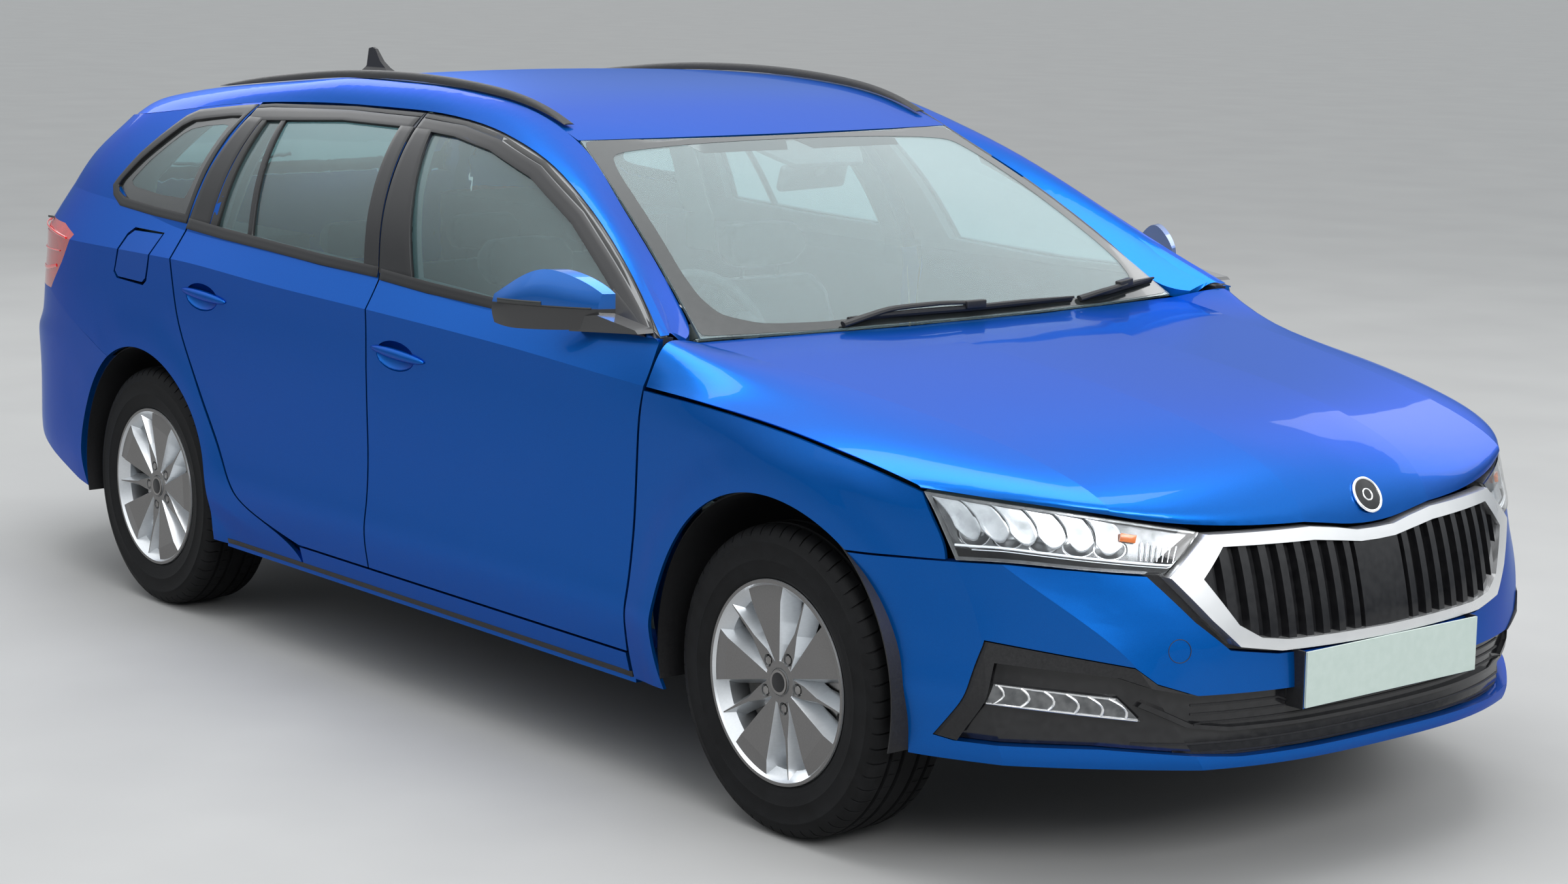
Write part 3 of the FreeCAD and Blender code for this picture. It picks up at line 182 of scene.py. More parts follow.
def mixInto(tree, share, one, two):
    mixed = tree.nodes.new("ShaderNodeMix")
    mixed.data_type = "RGBA"
    tree.links.new(share, mixed.inputs["Factor"])
    for socket, value in zip([socket for socket in mixed.inputs if socket.type == "RGBA"], (one, two)):
        if isinstance(value, tuple):
            socket.default_value = (*value, 1)
        else:
            tree.links.new(value, socket)
    return [socket for socket in mixed.outputs if socket.type == "RGBA"][0]


def paler(colour, share):
    return [channel * share for channel in colour]


def surfaceMaterial(name, low, high, scale, rough, bump=0.0, bumpScale=0.0, metal=0.0, coat=0.0, extra=()):
    values = {"Metallic": metal, "Coat Weight": coat}
    if coat:
        values["Coat Roughness"] = 0.03
    values.update(extra)
    material, tree, shader = newMaterial(name, values)
    noise = noiseInto(tree, scale)
    tree.links.new(rampInto(tree, noise, low, high), shader.inputs["Base Color"])
    tree.links.new(spreadInto(tree, noise, rough), shader.inputs["Roughness"])
    if bump:
        raised = tree.nodes.new("ShaderNodeBump")
        raised.inputs["Strength"].default_value = bump
        raised.inputs["Distance"].default_value = 0.001
        tree.links.new(noiseInto(tree, bumpScale), raised.inputs["Height"])
        tree.links.new(raised.outputs["Normal"], shader.inputs["Normal"])
    return material


# dark plastic below a level, paint above it
def splitMaterial(name, low, high, level, soft):
    material, tree, shader = newMaterial(name, {"Roughness": 0.3, "Coat Weight": 0.8, "Coat Roughness": 0.04})
    share = spreadInto(tree, axesOf(tree, objectPlace(tree))["Z"], (0.0, 1.0), (level - soft, level + soft))
    shade = rampInto(tree, noiseInto(tree, 700), paler(high, 0.9), high)
    tree.links.new(mixInto(tree, share, low, shade), shader.inputs["Base Color"])
    tree.links.new(spreadInto(tree, share, (0.0, 0.8)), shader.inputs["Metallic"])
    return material


# paint outside and lining on the faces that look into the cabin: a door is lined behind a depth that follows
# its skin, a side frame by the way its faces look; window reveals are dark
liningSplit = dict(belt=0.99, skin=0.866, lean=0.1, curve=1.2, edge=0.75, inward=-0.08, ahead=0.30, middle=0.45,
                   reach=0.75, top=1.3, dark=(0.022, 0.022, 0.024), pale=(0.20, 0.20, 0.195),
                   reveal=(0.008, 0.008, 0.009), metal=0.85, rough=0.32, liningRough=0.45)


def linedPaint(name, low, high, byDepth):
    setup = liningSplit
    material, tree, shader = newMaterial(name, {
        "Coat Weight": 0.22, "Coat Roughness": 0.03, "Specular IOR Level": 0.3,
        "Specular Tint": (0.1, 0.35, 0.9, 1)})
    spot = axesOf(tree, objectPlace(tree))
    facing = axesOf(tree, objectPlace(tree, "Normal"))

    def both(one, two):
        return mathInto(tree, "MULTIPLY", one, two)

    def under(one, two):
        return mathInto(tree, "LESS_THAN", one, two)

    def less(one, two):
        return mathInto(tree, "SUBTRACT", one, two)

    rise = mathInto(tree, "MAXIMUM", less(spot["Z"], 1.0), 0.0)
    skin = less(less(setup["skin"], both(rise, setup["lean"])), both(both(rise, rise), setup["curve"]))
    deep = under(mathInto(tree, "ABSOLUTE", spot["Y"]), skin)
    upper = mathInto(tree, "GREATER_THAN", spot["Z"], setup["belt"])
    reveal = both(upper, under(mathInto(tree, "ABSOLUTE", facing["Y"]), setup["edge"]))
    inside = deep
    if not byDepth:
        ahead = mathInto(tree, "ADD", facing["X"], mathInto(tree, "MAXIMUM", facing["Z"], 0.0))
        inside = both(under(both(spot["Y"], facing["Y"]), setup["inward"]), under(ahead, setup["ahead"]))
        along = mathInto(tree, "ABSOLUTE", mathInto(tree, "ADD", spot["X"], setup["middle"]))
        reveal = both(both(reveal, deep), both(under(along, setup["reach"]), under(spot["Z"], setup["top"])))
    paint = mixInto(tree, reveal, rampInto(tree, noiseInto(tree, 900), low, high), setup["reveal"])
    lining = mixInto(tree, upper, setup["dark"], setup["pale"])
    tree.links.new(mixInto(tree, inside, paint, lining), shader.inputs["Base Color"])
    rough = mathInto(tree, "ADD", setup["rough"], both(inside, setup["liningRough"]))
    tree.links.new(rough, shader.inputs["Roughness"])
    metal = both(less(1.0, mathInto(tree, "MAXIMUM", inside, reveal)), setup["metal"])
    tree.links.new(metal, shader.inputs["Metallic"])
    return material


def glassMaterial(name, low, high, bend, through):
    material, tree, shader = newMaterial(name, {"Roughness": 0.01, "Transmission Weight": through, "IOR": bend})
    tree.links.new(rampInto(tree, noiseInto(tree, 3), low, high), shader.inputs["Base Color"])
    return material


# wheel colour: grey where the surface looks straight outwards and brighter silver on the flanks; the grey faces are
# painted shade and the bright flanks are a painted highlight
def wheelMaterial(name, face, flank):
    material, tree, shader = newMaterial(name, {"Metallic": 0.85, "Coat Weight": 0.3, "Coat Roughness": 0.08})
    outwards = mathInto(tree, "ABSOLUTE", axesOf(tree, objectPlace(tree, "Normal"))["Y"])
    share = spreadInto(tree, outwards, (0.0, 1.0), (0.965, 0.985))
    grain = noiseInto(tree, 260, (1, 0.2, 1))
    faceShade = rampInto(tree, grain, paler(face, 0.9), face)
    light = rampInto(tree, grain, paler(flank, 0.94), flank)
    tree.links.new(mixInto(tree, share, light, faceShade), shader.inputs["Base Color"])
    tree.links.new(spreadInto(tree, share, (0.28, 0.42)), shader.inputs["Roughness"])
    return material


paintLow = (0.0006, 0.082, 0.36)
paintHigh = (0.001, 0.108, 0.44)
bluePaint = surfaceMaterial("bluePaint", paintLow, paintHigh, 900, (0.28, 0.38), metal=0.85, coat=0.28,
                            extra={"Specular IOR Level": 0.3, "Specular Tint": (0.1, 0.35, 0.9, 1)})
doorPaint = linedPaint("doorPaint", paintLow, paintHigh, True)
framePaint = linedPaint("framePaint", paintLow, paintHigh, False)
mirrorPaint = splitMaterial("mirrorPaint", (0.008, 0.008, 0.009), paintHigh, 1.034, 0.0012)
darkPlastic = surfaceMaterial("darkPlastic", (0.007, 0.007, 0.008), (0.013, 0.013, 0.014), 220, (0.42, 0.56), 0.2, 900,
                              extra={"Specular IOR Level": 0.35})
trimSatin = surfaceMaterial("trimSatin", (0.006, 0.006, 0.007), (0.010, 0.010, 0.011), 300, (0.32, 0.42), 0.08, 1200,
                            extra={"Specular IOR Level": 0.35})
sealRubber = surfaceMaterial("sealRubber", (0.006, 0.006, 0.006), (0.010, 0.010, 0.010), 200, (0.5, 0.62))
ceramicBlack = surfaceMaterial("ceramicBlack", (0.010, 0.012, 0.012), (0.014, 0.016, 0.016), 60, (0.1, 0.16), coat=0.6)
glossBlack = surfaceMaterial("glossBlack", (0.006, 0.006, 0.007), (0.012, 0.012, 0.013), 60, (0.08, 0.16))
brightChrome = surfaceMaterial("brightChrome", (0.90, 0.91, 0.92), (0.96, 0.965, 0.97), 12, (0.22, 0.30), metal=0.9,
                               coat=0.6)
tyreRubber = surfaceMaterial("tyreRubber", (0.0035, 0.0036, 0.004), (0.007, 0.0072, 0.008), 35, (0.55, 0.75), 0.3, 500,
                             extra={"Specular IOR Level": 0.16})
plainSteel = surfaceMaterial("plainSteel", (0.10, 0.10, 0.105), (0.2, 0.2, 0.2), 40, (0.4, 0.6), metal=0.7)
discSteel = surfaceMaterial("discSteel", (0.20, 0.19, 0.185), (0.34, 0.33, 0.32), 30, (0.25, 0.4), 0.2, 400, metal=1.0)
castIron = surfaceMaterial("castIron", (0.04, 0.04, 0.04), (0.09, 0.085, 0.08), 60, (0.6, 0.8), 0.3, 300, metal=0.5)
seatCloth = surfaceMaterial("seatCloth", (0.014, 0.015, 0.017), (0.032, 0.034, 0.037), 900, (0.8, 0.95), 0.4, 1500,
                            extra={"Sheen Weight": 0.3})
liningCloth = surfaceMaterial("liningCloth", (0.34, 0.34, 0.33), (0.42, 0.42, 0.41), 500, (0.8, 0.95), 0.3, 1400)
cabinPlastic = surfaceMaterial("cabinPlastic", (0.022, 0.023, 0.025), (0.035, 0.036, 0.038), 260, (0.5, 0.62), 0.25,
                               900)
lampRed = surfaceMaterial("lampRed", (0.30, 0.004, 0.006), (0.42, 0.008, 0.01), 30, (0.08, 0.14), coat=0.6)
lampClear = surfaceMaterial("lampClear", (0.55, 0.57, 0.60), (0.7, 0.72, 0.75), 20, (0.08, 0.14), metal=0.5)
lampRedBright = surfaceMaterial("lampRedBright", (0.60, 0.012, 0.012), (0.72, 0.02, 0.018), 30, (0.1, 0.2), coat=0.6)
lampOrange = surfaceMaterial("lampOrange", (0.75, 0.16, 0.02), (0.85, 0.22, 0.03), 90, (0.15, 0.25), coat=0.5)
lightStrip = surfaceMaterial("lightStrip", (0.78, 0.82, 0.86), (0.88, 0.91, 0.94), 60, (0.15, 0.25), coat=0.5,
                             extra={"Emission Color": (0.9, 0.95, 1.0, 1), "Emission Strength": 0.35})
platePale = surfaceMaterial("platePale", (0.36, 0.43, 0.40), (0.39, 0.46, 0.43), 50, (0.3, 0.4))
sideGlass = glassMaterial("sideGlass", (0.42, 0.64, 0.66), (0.46, 0.68, 0.70), 1.5, 0.965)
screenGlass = glassMaterial("screenGlass", (0.74, 0.92, 0.94), (0.78, 0.94, 0.96), 1.5, 0.93)
lensGlass = glassMaterial("lensGlass", (0.93, 0.95, 0.96), (0.97, 0.98, 0.99), 1.3, 1.0)
lampMirror = surfaceMaterial("lampMirror", (0.60, 0.62, 0.64), (0.74, 0.76, 0.78), 40, (0.12, 0.22), metal=0.9)
lampSilver = surfaceMaterial("lampSilver", (0.20, 0.205, 0.21), (0.34, 0.345, 0.35), 30, (0.18, 0.3), metal=0.85)
fogDark = surfaceMaterial("fogDark", (0.10, 0.105, 0.11), (0.20, 0.205, 0.21), 60, (0.15, 0.25), metal=0.8)
# grey painted shade for the wheel faces, bright silver painted highlight for the flanks
wheelSilver = wheelMaterial("wheelSilver", (0.19, 0.184, 0.18), (0.66, 0.68, 0.70))
slotMaterials = dict(body_paint=bluePaint, clear_glass=sideGlass, dark_plastic=darkPlastic, gloss_black=glossBlack,
                     bright_chrome=brightChrome, lamp_clear=lampClear, lamp_red=lampRed, wheel_alloy=wheelSilver,
                     tyre_rubber=tyreRubber, steel=plainSteel, iron=castIron, seat_cloth=seatCloth,
                     plate_pale=platePale)
ownMaterials = dict(door_front_right=doorPaint, door_front_left=doorPaint, door_rear_right=doorPaint,
                    door_rear_left=doorPaint, side_frame_right=framePaint, side_frame_left=framePaint,
                    headlamps=lampSilver, fog_lamps=fogDark, windscreen=screenGlass, headlamp_lenses=lensGlass,
                    mirror_right=mirrorPaint, mirror_left=mirrorPaint)


def dressNodes():
    for part in frame["record"]["subparts"]:
        mesh = nodes[part["node"]].data
        mesh.materials.clear()
        mesh.materials.append(ownMaterials.get(part["node"], slotMaterials[part["material_slot"]]))


dressNodes()
print("materials set")


# tools for making pieces
def clearSelection():
    if bpy.context.object and bpy.context.object.mode != "OBJECT":
        bpy.ops.object.mode_set(mode="OBJECT")
    bpy.ops.object.select_all(action="DESELECT")


def chosen(piece):
    clearSelection()
    piece.select_set(True)
    bpy.context.view_layer.objects.active = piece


def applyModifiers(piece):
    chosen(piece)
    for modifier in list(piece.modifiers):
        bpy.ops.object.modifier_apply(modifier=modifier.name)


def roundEdges(piece, width, segments=2, angle=40):
    bevel = piece.modifiers.new("edges", "BEVEL")
    bevel.width = width
    bevel.segments = segments
    bevel.limit_method = "ANGLE"
    bevel.angle_limit = math.radians(angle)
    applyModifiers(piece)


def finishPiece(piece, name, material, body="body", smooth=35):
    chosen(piece)
    bpy.ops.object.transform_apply(location=True, rotation=True, scale=True)
    piece.name = name
    piece.data.name = name
    piece.data.materials.clear()
    piece.data.materials.append(material)
    bpy.ops.object.shade_smooth_by_angle(angle=math.radians(smooth))
    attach(piece, body)
    return piece


# same mesh again, moved along the car's width
def copyPiece(piece, shift=0.0):
    copy = piece.copy()
    copy.data = piece.data.copy()
    bpy.context.collection.objects.link(copy)
    for vertex in copy.data.vertices:
        vertex.co.y += shift
    return copy


# steps of the edit mode on the whole mesh
def editMesh(piece, *actions):
    chosen(piece)
    bpy.ops.object.mode_set(mode="EDIT")
    bpy.ops.mesh.select_all(action="SELECT")
    for action in actions:
        action()
    bpy.ops.object.mode_set(mode="OBJECT")


# same piece on the other side of the car
def mirroredCopy(piece):
    copy = copyPiece(piece)
    for vertex in copy.data.vertices:
        vertex.co.y = -vertex.co.y
    editMesh(copy, bpy.ops.mesh.flip_normals)
    return copy


# piece on the right side, and its mirror image on the left
def finishPair(right, name, material, body="body", smooth=35):
    left = mirroredCopy(right)
    finishPiece(right, name + "Right", material, body, smooth)
    finishPiece(left, name + "Left", material, body.replace("right", "left"), smooth)


# evenly spaced points along an open line
def spreadLine(points, count):
    points = [Vector(p) for p in points]
    lengths = [0.0]
    for one, two in zip(points, points[1:]):
        lengths.append(lengths[-1] + (two - one).length)
    line = []
    for k in range(count):
        at = lengths[-1] * k / (count - 1)
        row = 0
        while row < len(points) - 2 and lengths[row + 1] < at:
            row += 1
        gap = lengths[row + 1] - lengths[row]
        line.append(points[row].lerp(points[row + 1], (at - lengths[row]) / gap if gap else 0.0))
    return line


# each inner point drawn towards its two neighbours, the less the heavier it weighs
def calmLine(line, weight=2, passes=2):
    for _ in range(passes):
        inner = [(line[k - 1] + line[k] * weight + line[k + 1]) / (weight + 2) for k in range(1, len(line) - 1)]
        line = [line[0]] + inner + [line[-1]]
    return line


def smoothLine(points, count, passes=2):
    return calmLine(spreadLine(points, count), passes=passes)


# straight run from one value to another in even steps
def steps(low, high, count):
    return [low + (high - low) * k / count for k in range(count + 1)]


# grid primitive laid along rows of points
def gridPiece(rows):
    clearSelection()
    countU, countV = len(rows), len(rows[0])
    bpy.ops.mesh.primitive_grid_add(x_subdivisions=countU - 1, y_subdivisions=countV - 1, size=2)
    piece = bpy.context.object
    for vertex in piece.data.vertices:
        u = round((vertex.co.x + 1) / 2 * (countU - 1))
        v = round((vertex.co.y + 1) / 2 * (countV - 1))
        vertex.co = rows[u][v]
    return piece


# closed form from ring sections: each row is one section, its first point repeated at its end
def loftPiece(sections, closed=False):
    rows = [list(section) + [section[0]] for section in sections]
    if closed:
        rows.append(rows[0])
    piece = gridPiece(rows)
    chosen(piece)
    bpy.ops.object.mode_set(mode="EDIT")
    bpy.ops.mesh.select_all(action="SELECT")
    bpy.ops.mesh.remove_doubles(threshold=0.00001)
    if not closed:
        bpy.ops.mesh.select_mode(type="EDGE")
        bpy.ops.mesh.select_all(action="DESELECT")
        bpy.ops.mesh.select_non_manifold(extend=False, use_wire=False, use_multi_face=False, use_non_contiguous=False,
                                         use_verts=False)
        bpy.ops.mesh.fill_holes(sides=0)
    bpy.ops.mesh.select_all(action="SELECT")
    bpy.ops.mesh.fill_holes(sides=0)
    bpy.ops.mesh.normals_make_consistent(inside=False)
    bpy.ops.object.mode_set(mode="OBJECT")
    return piece


# rounded bar along points: width across, height along up
def barPiece(points, width, height, up=(0, 0, 1), corners=8, power=3.0, taper=None):
    points = [Vector(p) for p in points]
    up = Vector(up)
    sections = []
    for k, point in enumerate(points):
        ahead = (points[min(k + 1, len(points) - 1)] - points[max(k - 1, 0)]).normalized()
        side = ahead.cross(up).normalized()
        lift = side.cross(ahead).normalized()
        scale = taper[k] if taper else 1.0
        ring = []
        for c in range(corners):
            turn = 2 * math.pi * (c + 0.5) / corners
            a, b = math.cos(turn), math.sin(turn)
            reach = (abs(a) ** power + abs(b) ** power) ** (-1 / power)
            ring.append(point + side * (a * reach * width / 2 * scale) + lift * (b * reach * height / 2 * scale))
        sections.append(ring)
    return loftPiece(sections)


def boxPiece(low, high, bevel=0.0, segments=3):
    clearSelection()
    middle = [(a + b) / 2 for a, b in zip(low, high)]
    bpy.ops.mesh.primitive_cube_add(size=1, location=middle)
    piece = bpy.context.object
    piece.scale = [b - a for a, b in zip(low, high)]
    bpy.ops.object.transform_apply(location=False, rotation=False, scale=True)
    if bevel:
        roundEdges(piece, bevel, segments, 30)
    return piece


def joinPieces(pieces):
    chosen(pieces[0])
    for piece in pieces:
        piece.select_set(True)
    bpy.ops.object.join()
    return bpy.context.object


def treeOf(*names):
    points = []
    faces = []
    for name in names:
        mesh = nodes[name].data
        start = len(points)
        points.extend(vertex.co.copy() for vertex in mesh.vertices)
        faces.extend([start + index for index in face.vertices] for face in mesh.polygons)
    return BVHTree.FromPolygons(points, faces)


# where a ray meets a surface, or else the surface's spot nearest to another point; with the normal there
def meetSurface(tree, start, direction, other):
    hit, normal = tree.ray_cast(Vector(start), Vector(direction))[:2]
    if hit is None:
        hit, normal = tree.find_nearest(Vector(other))[:2]
    return hit, normal


# smooth surface through the outer side of the doors and the side frame, from casts on the right side
fitSetup = dict(xLow=-1.50, xHigh=1.07, zLow=1.0, zHigh=1.385, stepX=0.03, stepZ=0.012, order=5, keep=0.004,
                outside=-0.56, rounds=6, fewest=60)


def fitTerms(x, z):
    u, v = x / 1.3, (z - 1.19) / 0.2
    order = fitSetup["order"]
    return [u ** i * v ** j for i in range(order + 1) for j in range(order + 1 - i)]


def fitSide():
    tree = treeOf("side_frame_right", "door_front_right", "door_rear_right")
    spots = []
    x = fitSetup["xLow"]
    while x < fitSetup["xHigh"]:
        z = fitSetup["zLow"]
        while z < fitSetup["zHigh"]:
            hit = tree.ray_cast(Vector((x, -1.3, z)), (0, 1, 0))[0]
            if hit is not None and hit.y < fitSetup["outside"]:
                spots.append((x, z, hit.y))
            z += fitSetup["stepZ"]
        x += fitSetup["stepX"]
    kept = spots
    for _ in range(fitSetup["rounds"]):
        terms = np.array([fitTerms(x, z) for x, z, y in kept])
        wanted = np.array([y for x, z, y in kept])
        shares = np.linalg.lstsq(terms, wanted, rcond=None)[0]
        kept = []
        for x, z, y in spots:
            if abs(float(np.dot(fitTerms(x, z), shares)) - y) < fitSetup["keep"]:
                kept.append((x, z, y))
        if len(kept) < fitSetup["fewest"]:
            break
    print("side fit from", len(kept), "of", len(spots))
    return shares


sideShares = fitSide()


def sideY(x, z):
    return float(np.dot(fitTerms(x, z), sideShares))


# rows of points between two side view lines (x, z) in mm, on the fitted side and raised off it
def sideRows(lineA, lineB, length, across=4, lift=1.0, paired=True):
    if paired:
        edges = [[Vector((x, 0, z)) for x, z in line] for line in pairedLines(lineA, lineB, length)]
    else:
        edges = [spreadLine([(x, 0, z) for x, z in line], length) for line in (lineA, lineB)]
    rows = []
    for a, b in zip(*edges):
        row = []
        for share in steps(0.0, 1.0, across):
            spot = a.lerp(b, share) / 1000
            row.append(Vector((spot.x, sideY(spot.x, spot.z) - lift / 1000, spot.z)))
        rows.append(row)
    return rows


# two lines cut into matching short runs, point for point
def pairedLines(lineA, lineB, parts):
    outA, outB = [], []
    for (a0, a1), (b0, b1) in zip(zip(lineA, lineA[1:]), zip(lineB, lineB[1:])):
        for k in range(parts):
            t = k / parts
            outA.append((a0[0] + (a1[0] - a0[0]) * t, a0[1] + (a1[1] - a0[1]) * t))
            outB.append((b0[0] + (b1[0] - b0[0]) * t, b0[1] + (b1[1] - b0[1]) * t))
    outA.append(lineA[-1])
    outB.append(lineB[-1])
    return outA, outB


# surface turned to one side, with a wall behind it
def wallPiece(piece, thickness, outward, bevel):
    facing = sum((face.normal * face.area for face in piece.data.polygons), Vector())
    if facing.dot(Vector(outward)) < 0:
        editMesh(piece, bpy.ops.mesh.flip_normals)
    wall = piece.modifiers.new("wall", "SOLIDIFY")
    wall.thickness = thickness
    wall.offset = -1.0
    applyModifiers(piece)
    if bevel:
        roundEdges(piece, bevel, 2, 50)
    return piece


def sheetPiece(rows, thickness, outward, bevel=0.0008):
    return wallPiece(gridPiece(rows), thickness, outward, bevel)


# the last row meets the first
def ringPiece(rows, thickness, outward, bevel=0.0):
    rows[-1] = [point.copy() for point in rows[0]]
    piece = gridPiece(rows)
    editMesh(piece, lambda: bpy.ops.mesh.remove_doubles(threshold=0.00002))
    return wallPiece(piece, thickness, outward, bevel)


# strip on the right side and its twin on the left, sunk into the frame so that it has no gap behind it
def sidePair(setup, material, body):
    rows = sideRows(setup["low"], setup["high"], setup["length"], setup["across"], setup["lift"],
                    setup.get("paired", True))
    finishPair(sheetPiece(rows, 0.009, (0, -1, 0), 0.0009), setup["name"], material, body=body)


# trims round the side windows, side view lines (x, z) in mm on the right side
frontTrims = [
    dict(name="frontDoorSeal", length=14, across=2, lift=1.4,
         low=[(1044, 1005.5), (878, 1093), (620, 1223), (400, 1310.8), (200, 1358.8), (29, 1380.8), (-158, 1389)],
         high=[(1036, 1003), (873, 1084), (616, 1214), (397, 1302), (199, 1350), (29, 1372), (-155, 1380)]),
    dict(name="frontDoorBand", length=14, across=3, lift=2.4,
         low=[(1035, 1002), (872, 1083), (615, 1213), (397, 1301), (199, 1349), (29, 1371), (-155, 1379)],
         high=[(985, 1002), (858, 1058), (601, 1190), (386, 1276), (194, 1324), (28, 1346), (-148, 1354)]),
    dict(name="frontBelt", length=12, across=3, lift=3.0,
         low=[(1030, 992), (868, 989), (510, 988), (180, 998), (-25, 1009)],
         high=[(1004, 1008), (868, 1014), (510, 1012), (180, 1024), (-29, 1035)]),
    dict(name="frontPillarCover", length=12, across=5, lift=2.6,
         low=[(110, 1024), (18, 1190), (-80, 1356)],
         high=[(-33, 1024), (-92, 1190), (-150, 1356)]),
    dict(name="sailPanel", length=10, paired=False, across=8, lift=3.2,
         low=[(846, 1010), (846, 1070)], high=[(1010, 1004), (1006, 1006)])]
rearTrims = [
    dict(name="rearDoorSeal", length=14, across=2, lift=1.4,
         low=[(-176, 1389.5), (-498, 1389.5), (-876, 1377.5), (-944, 1372)],
         high=[(-175, 1381), (-498, 1381), (-876, 1369), (-942, 1364)]),
    dict(name="rearDoorBand", length=14, across=3, lift=2.4,
         low=[(-175, 1380), (-498, 1380), (-876, 1368), (-942, 1363)],
         high=[(-172, 1356), (-498, 1356), (-850, 1337), (-936, 1334)]),
    dict(name="rearBelt", length=12, across=3, lift=3.0,
         low=[(-39, 1013), (-300, 1019), (-563, 1030), (-800, 1039), (-999, 1050)],
         high=[(-42, 1038), (-300, 1045), (-563, 1056), (-800, 1066), (-997, 1077)]),
    dict(name="rearPillarCover", length=12, across=4, lift=2.6,
         low=[(-41, 1030), (-100, 1190), (-162, 1358)],
         high=[(-106, 1030), (-162, 1190), (-223, 1358)]),
    dict(name="rearGlassBar", length=12, across=2, lift=0.6,
         low=[(-661, 1052), (-764, 1366)], high=[(-684, 1052), (-786, 1366)]),
    dict(name="rearCornerSeal", length=12, across=2, lift=1.8,
         low=[(-850, 1064), (-846, 1342)], high=[(-884, 1066), (-866, 1342)]),
    dict(name="rearCornerCover", length=10, across=5, lift=2.6,
         low=[(-887, 1066), (-880, 1200), (-869, 1342)], high=[(-996, 1068), (-979, 1200), (-941, 1342)])]
for trims, body in ((frontTrims, "front_door_right"), (rearTrims, "rear_door_right")):
    for trim in trims:
        sidePair(trim, sealRubber if "Seal" in trim["name"] else trimSatin, body)
print("door trims")

# quarter window: satin surround, then the dark printed border of the pane
quarterSetup = dict(
    outer=[(-1007, 1062), (-1180, 1068), (-1390, 1080), (-1445, 1104), (-1466, 1130), (-1452, 1150), (-1383, 1222),
           (-1258, 1328), (-1215, 1346), (-1143, 1354), (-1040, 1365), (-951, 1373), (-975, 1290), (-990, 1200),
           (-1002, 1110), (-1007, 1062)],
    pane=[(-1026, 1086), (-1190, 1092), (-1376, 1103), (-1420, 1118), (-1434, 1133), (-1424, 1148), (-1360, 1208),
          (-1240, 1302), (-1204, 1318), (-1130, 1328), (-1040, 1338), (-980, 1342), (-996, 1280), (-1012, 1200),
          (-1020, 1120), (-1026, 1086)],
    edge=[(-1020, 1081), (-1190, 1087), (-1378, 1098), (-1424, 1114), (-1441, 1132), (-1428, 1151), (-1364, 1213),
          (-1243, 1307), (-1206, 1323), (-1130, 1334), (-1040, 1344), (-973, 1349), (-989, 1280), (-1006, 1200),
          (-1015, 1120), (-1020, 1081)],
    clear=[(-1066, 1122), (-1190, 1122), (-1340, 1132), (-1366, 1137), (-1378, 1146), (-1370, 1158), (-1322, 1205),
           (-1222, 1282), (-1192, 1296), (-1126, 1308), (-1050, 1315), (-1020, 1314), (-1030, 1270), (-1044, 1200),
           (-1052, 1150), (-1066, 1122)])


surround = ringPiece(sideRows(quarterSetup["outer"], quarterSetup["pane"], 4, 3, 2.2), 0.009, (0, -1, 0), 0.0009)
paneRows = sideRows(quarterSetup["edge"], quarterSetup["clear"], 4, 3, 0.0)
paneTree = treeOf("quarter_glass")
for row in paneRows:
    for point in row:
        hit = paneTree.ray_cast(Vector((point.x, -1.3, point.z)), (0, 1, 0))[0]
        if hit is None or hit.y > -0.5:
            hit = paneTree.find_nearest(point)[0]
        point.y = hit.y - 0.0007
border = ringPiece(paneRows, 0.0005, (0, -1, 0))
finishPair(surround, "quarterSurround", trimSatin)
finishPair(border, "quarterBorder", ceramicBlack)
print("quarter windows")

# windscreen: printed border, camera housing, inside mirror, wipers
screenTree = treeOf("windscreen")
screenSetup = dict(
    outer=[(1097, 0), (1090, 220), (1072, 430), (1044, 600), (1019, 721), (940, 703), (860, 684), (740, 657),
           (620, 630), (490, 598), (364, 566), (386, 400), (400, 200), (408, 0)],
    inner=[(1066, 0), (1064, 200), (1054, 400), (1026, 556), (978, 636), (920, 650), (846, 642), (732, 616),
           (614, 590), (500, 562), (428, 530), (425, 380), (428, 200), (430, 0)])


screenUp = Vector((0.5, 0, 0.86))


# spot over the windscreen, seen from above, with the height at which the nearest spot is looked for instead
def onScreen(x, y, lift, height=1.1):
    x, y = x / 1000, y / 1000
    hit, normal = screenTree.ray_cast(Vector((x, y, 2.0)), (0, 0, -1))[:2]
    if hit is None:
        hit, normal = screenTree.find_nearest(Vector((x, y, height)))[0], screenUp
    return hit + normal * lift / 1000


def fullLoop(half):
    return [(x, -y) for x, y in reversed(half)] + half[1:]


def screenRows(outer, inner, parts, across, lift):
    a, b = ([Vector((x, y, 0)) for x, y in line] for line in pairedLines(fullLoop(outer), fullLoop(inner), parts))
    rows = []
    for one, two in zip(calmLine(a, 6), calmLine(b, 2)):
        spots = [one.lerp(two, share) for share in steps(0.0, 1.0, across)]
        rows.append([onScreen(spot.x, spot.y, lift, 1.16) for spot in spots])
    return rows


screenBorder = ringPiece(screenRows(screenSetup["outer"], screenSetup["inner"], 5, 4, 0.7), 0.0005, (0, 0, 1))
finishPiece(screenBorder, "screenBorder", ceramicBlack)

wiperSetup = [dict(name="wiperRight", blade=[(1064, -350), (1075, -180), (1082, 0), (1076, 180), (1064, 348)],
                   foot=(1.080, -0.372, 0.984), arm=[(1064, -230, 20), (1072, -80, 25), (1078, 20, 22)]),
              dict(name="wiperLeft", blade=[(1058, 395), (1044, 480), (1022, 560), (984, 700)],
                   foot=(1.066, 0.372, 0.990), arm=[(1050, 460, 20), (1026, 556, 22)])]
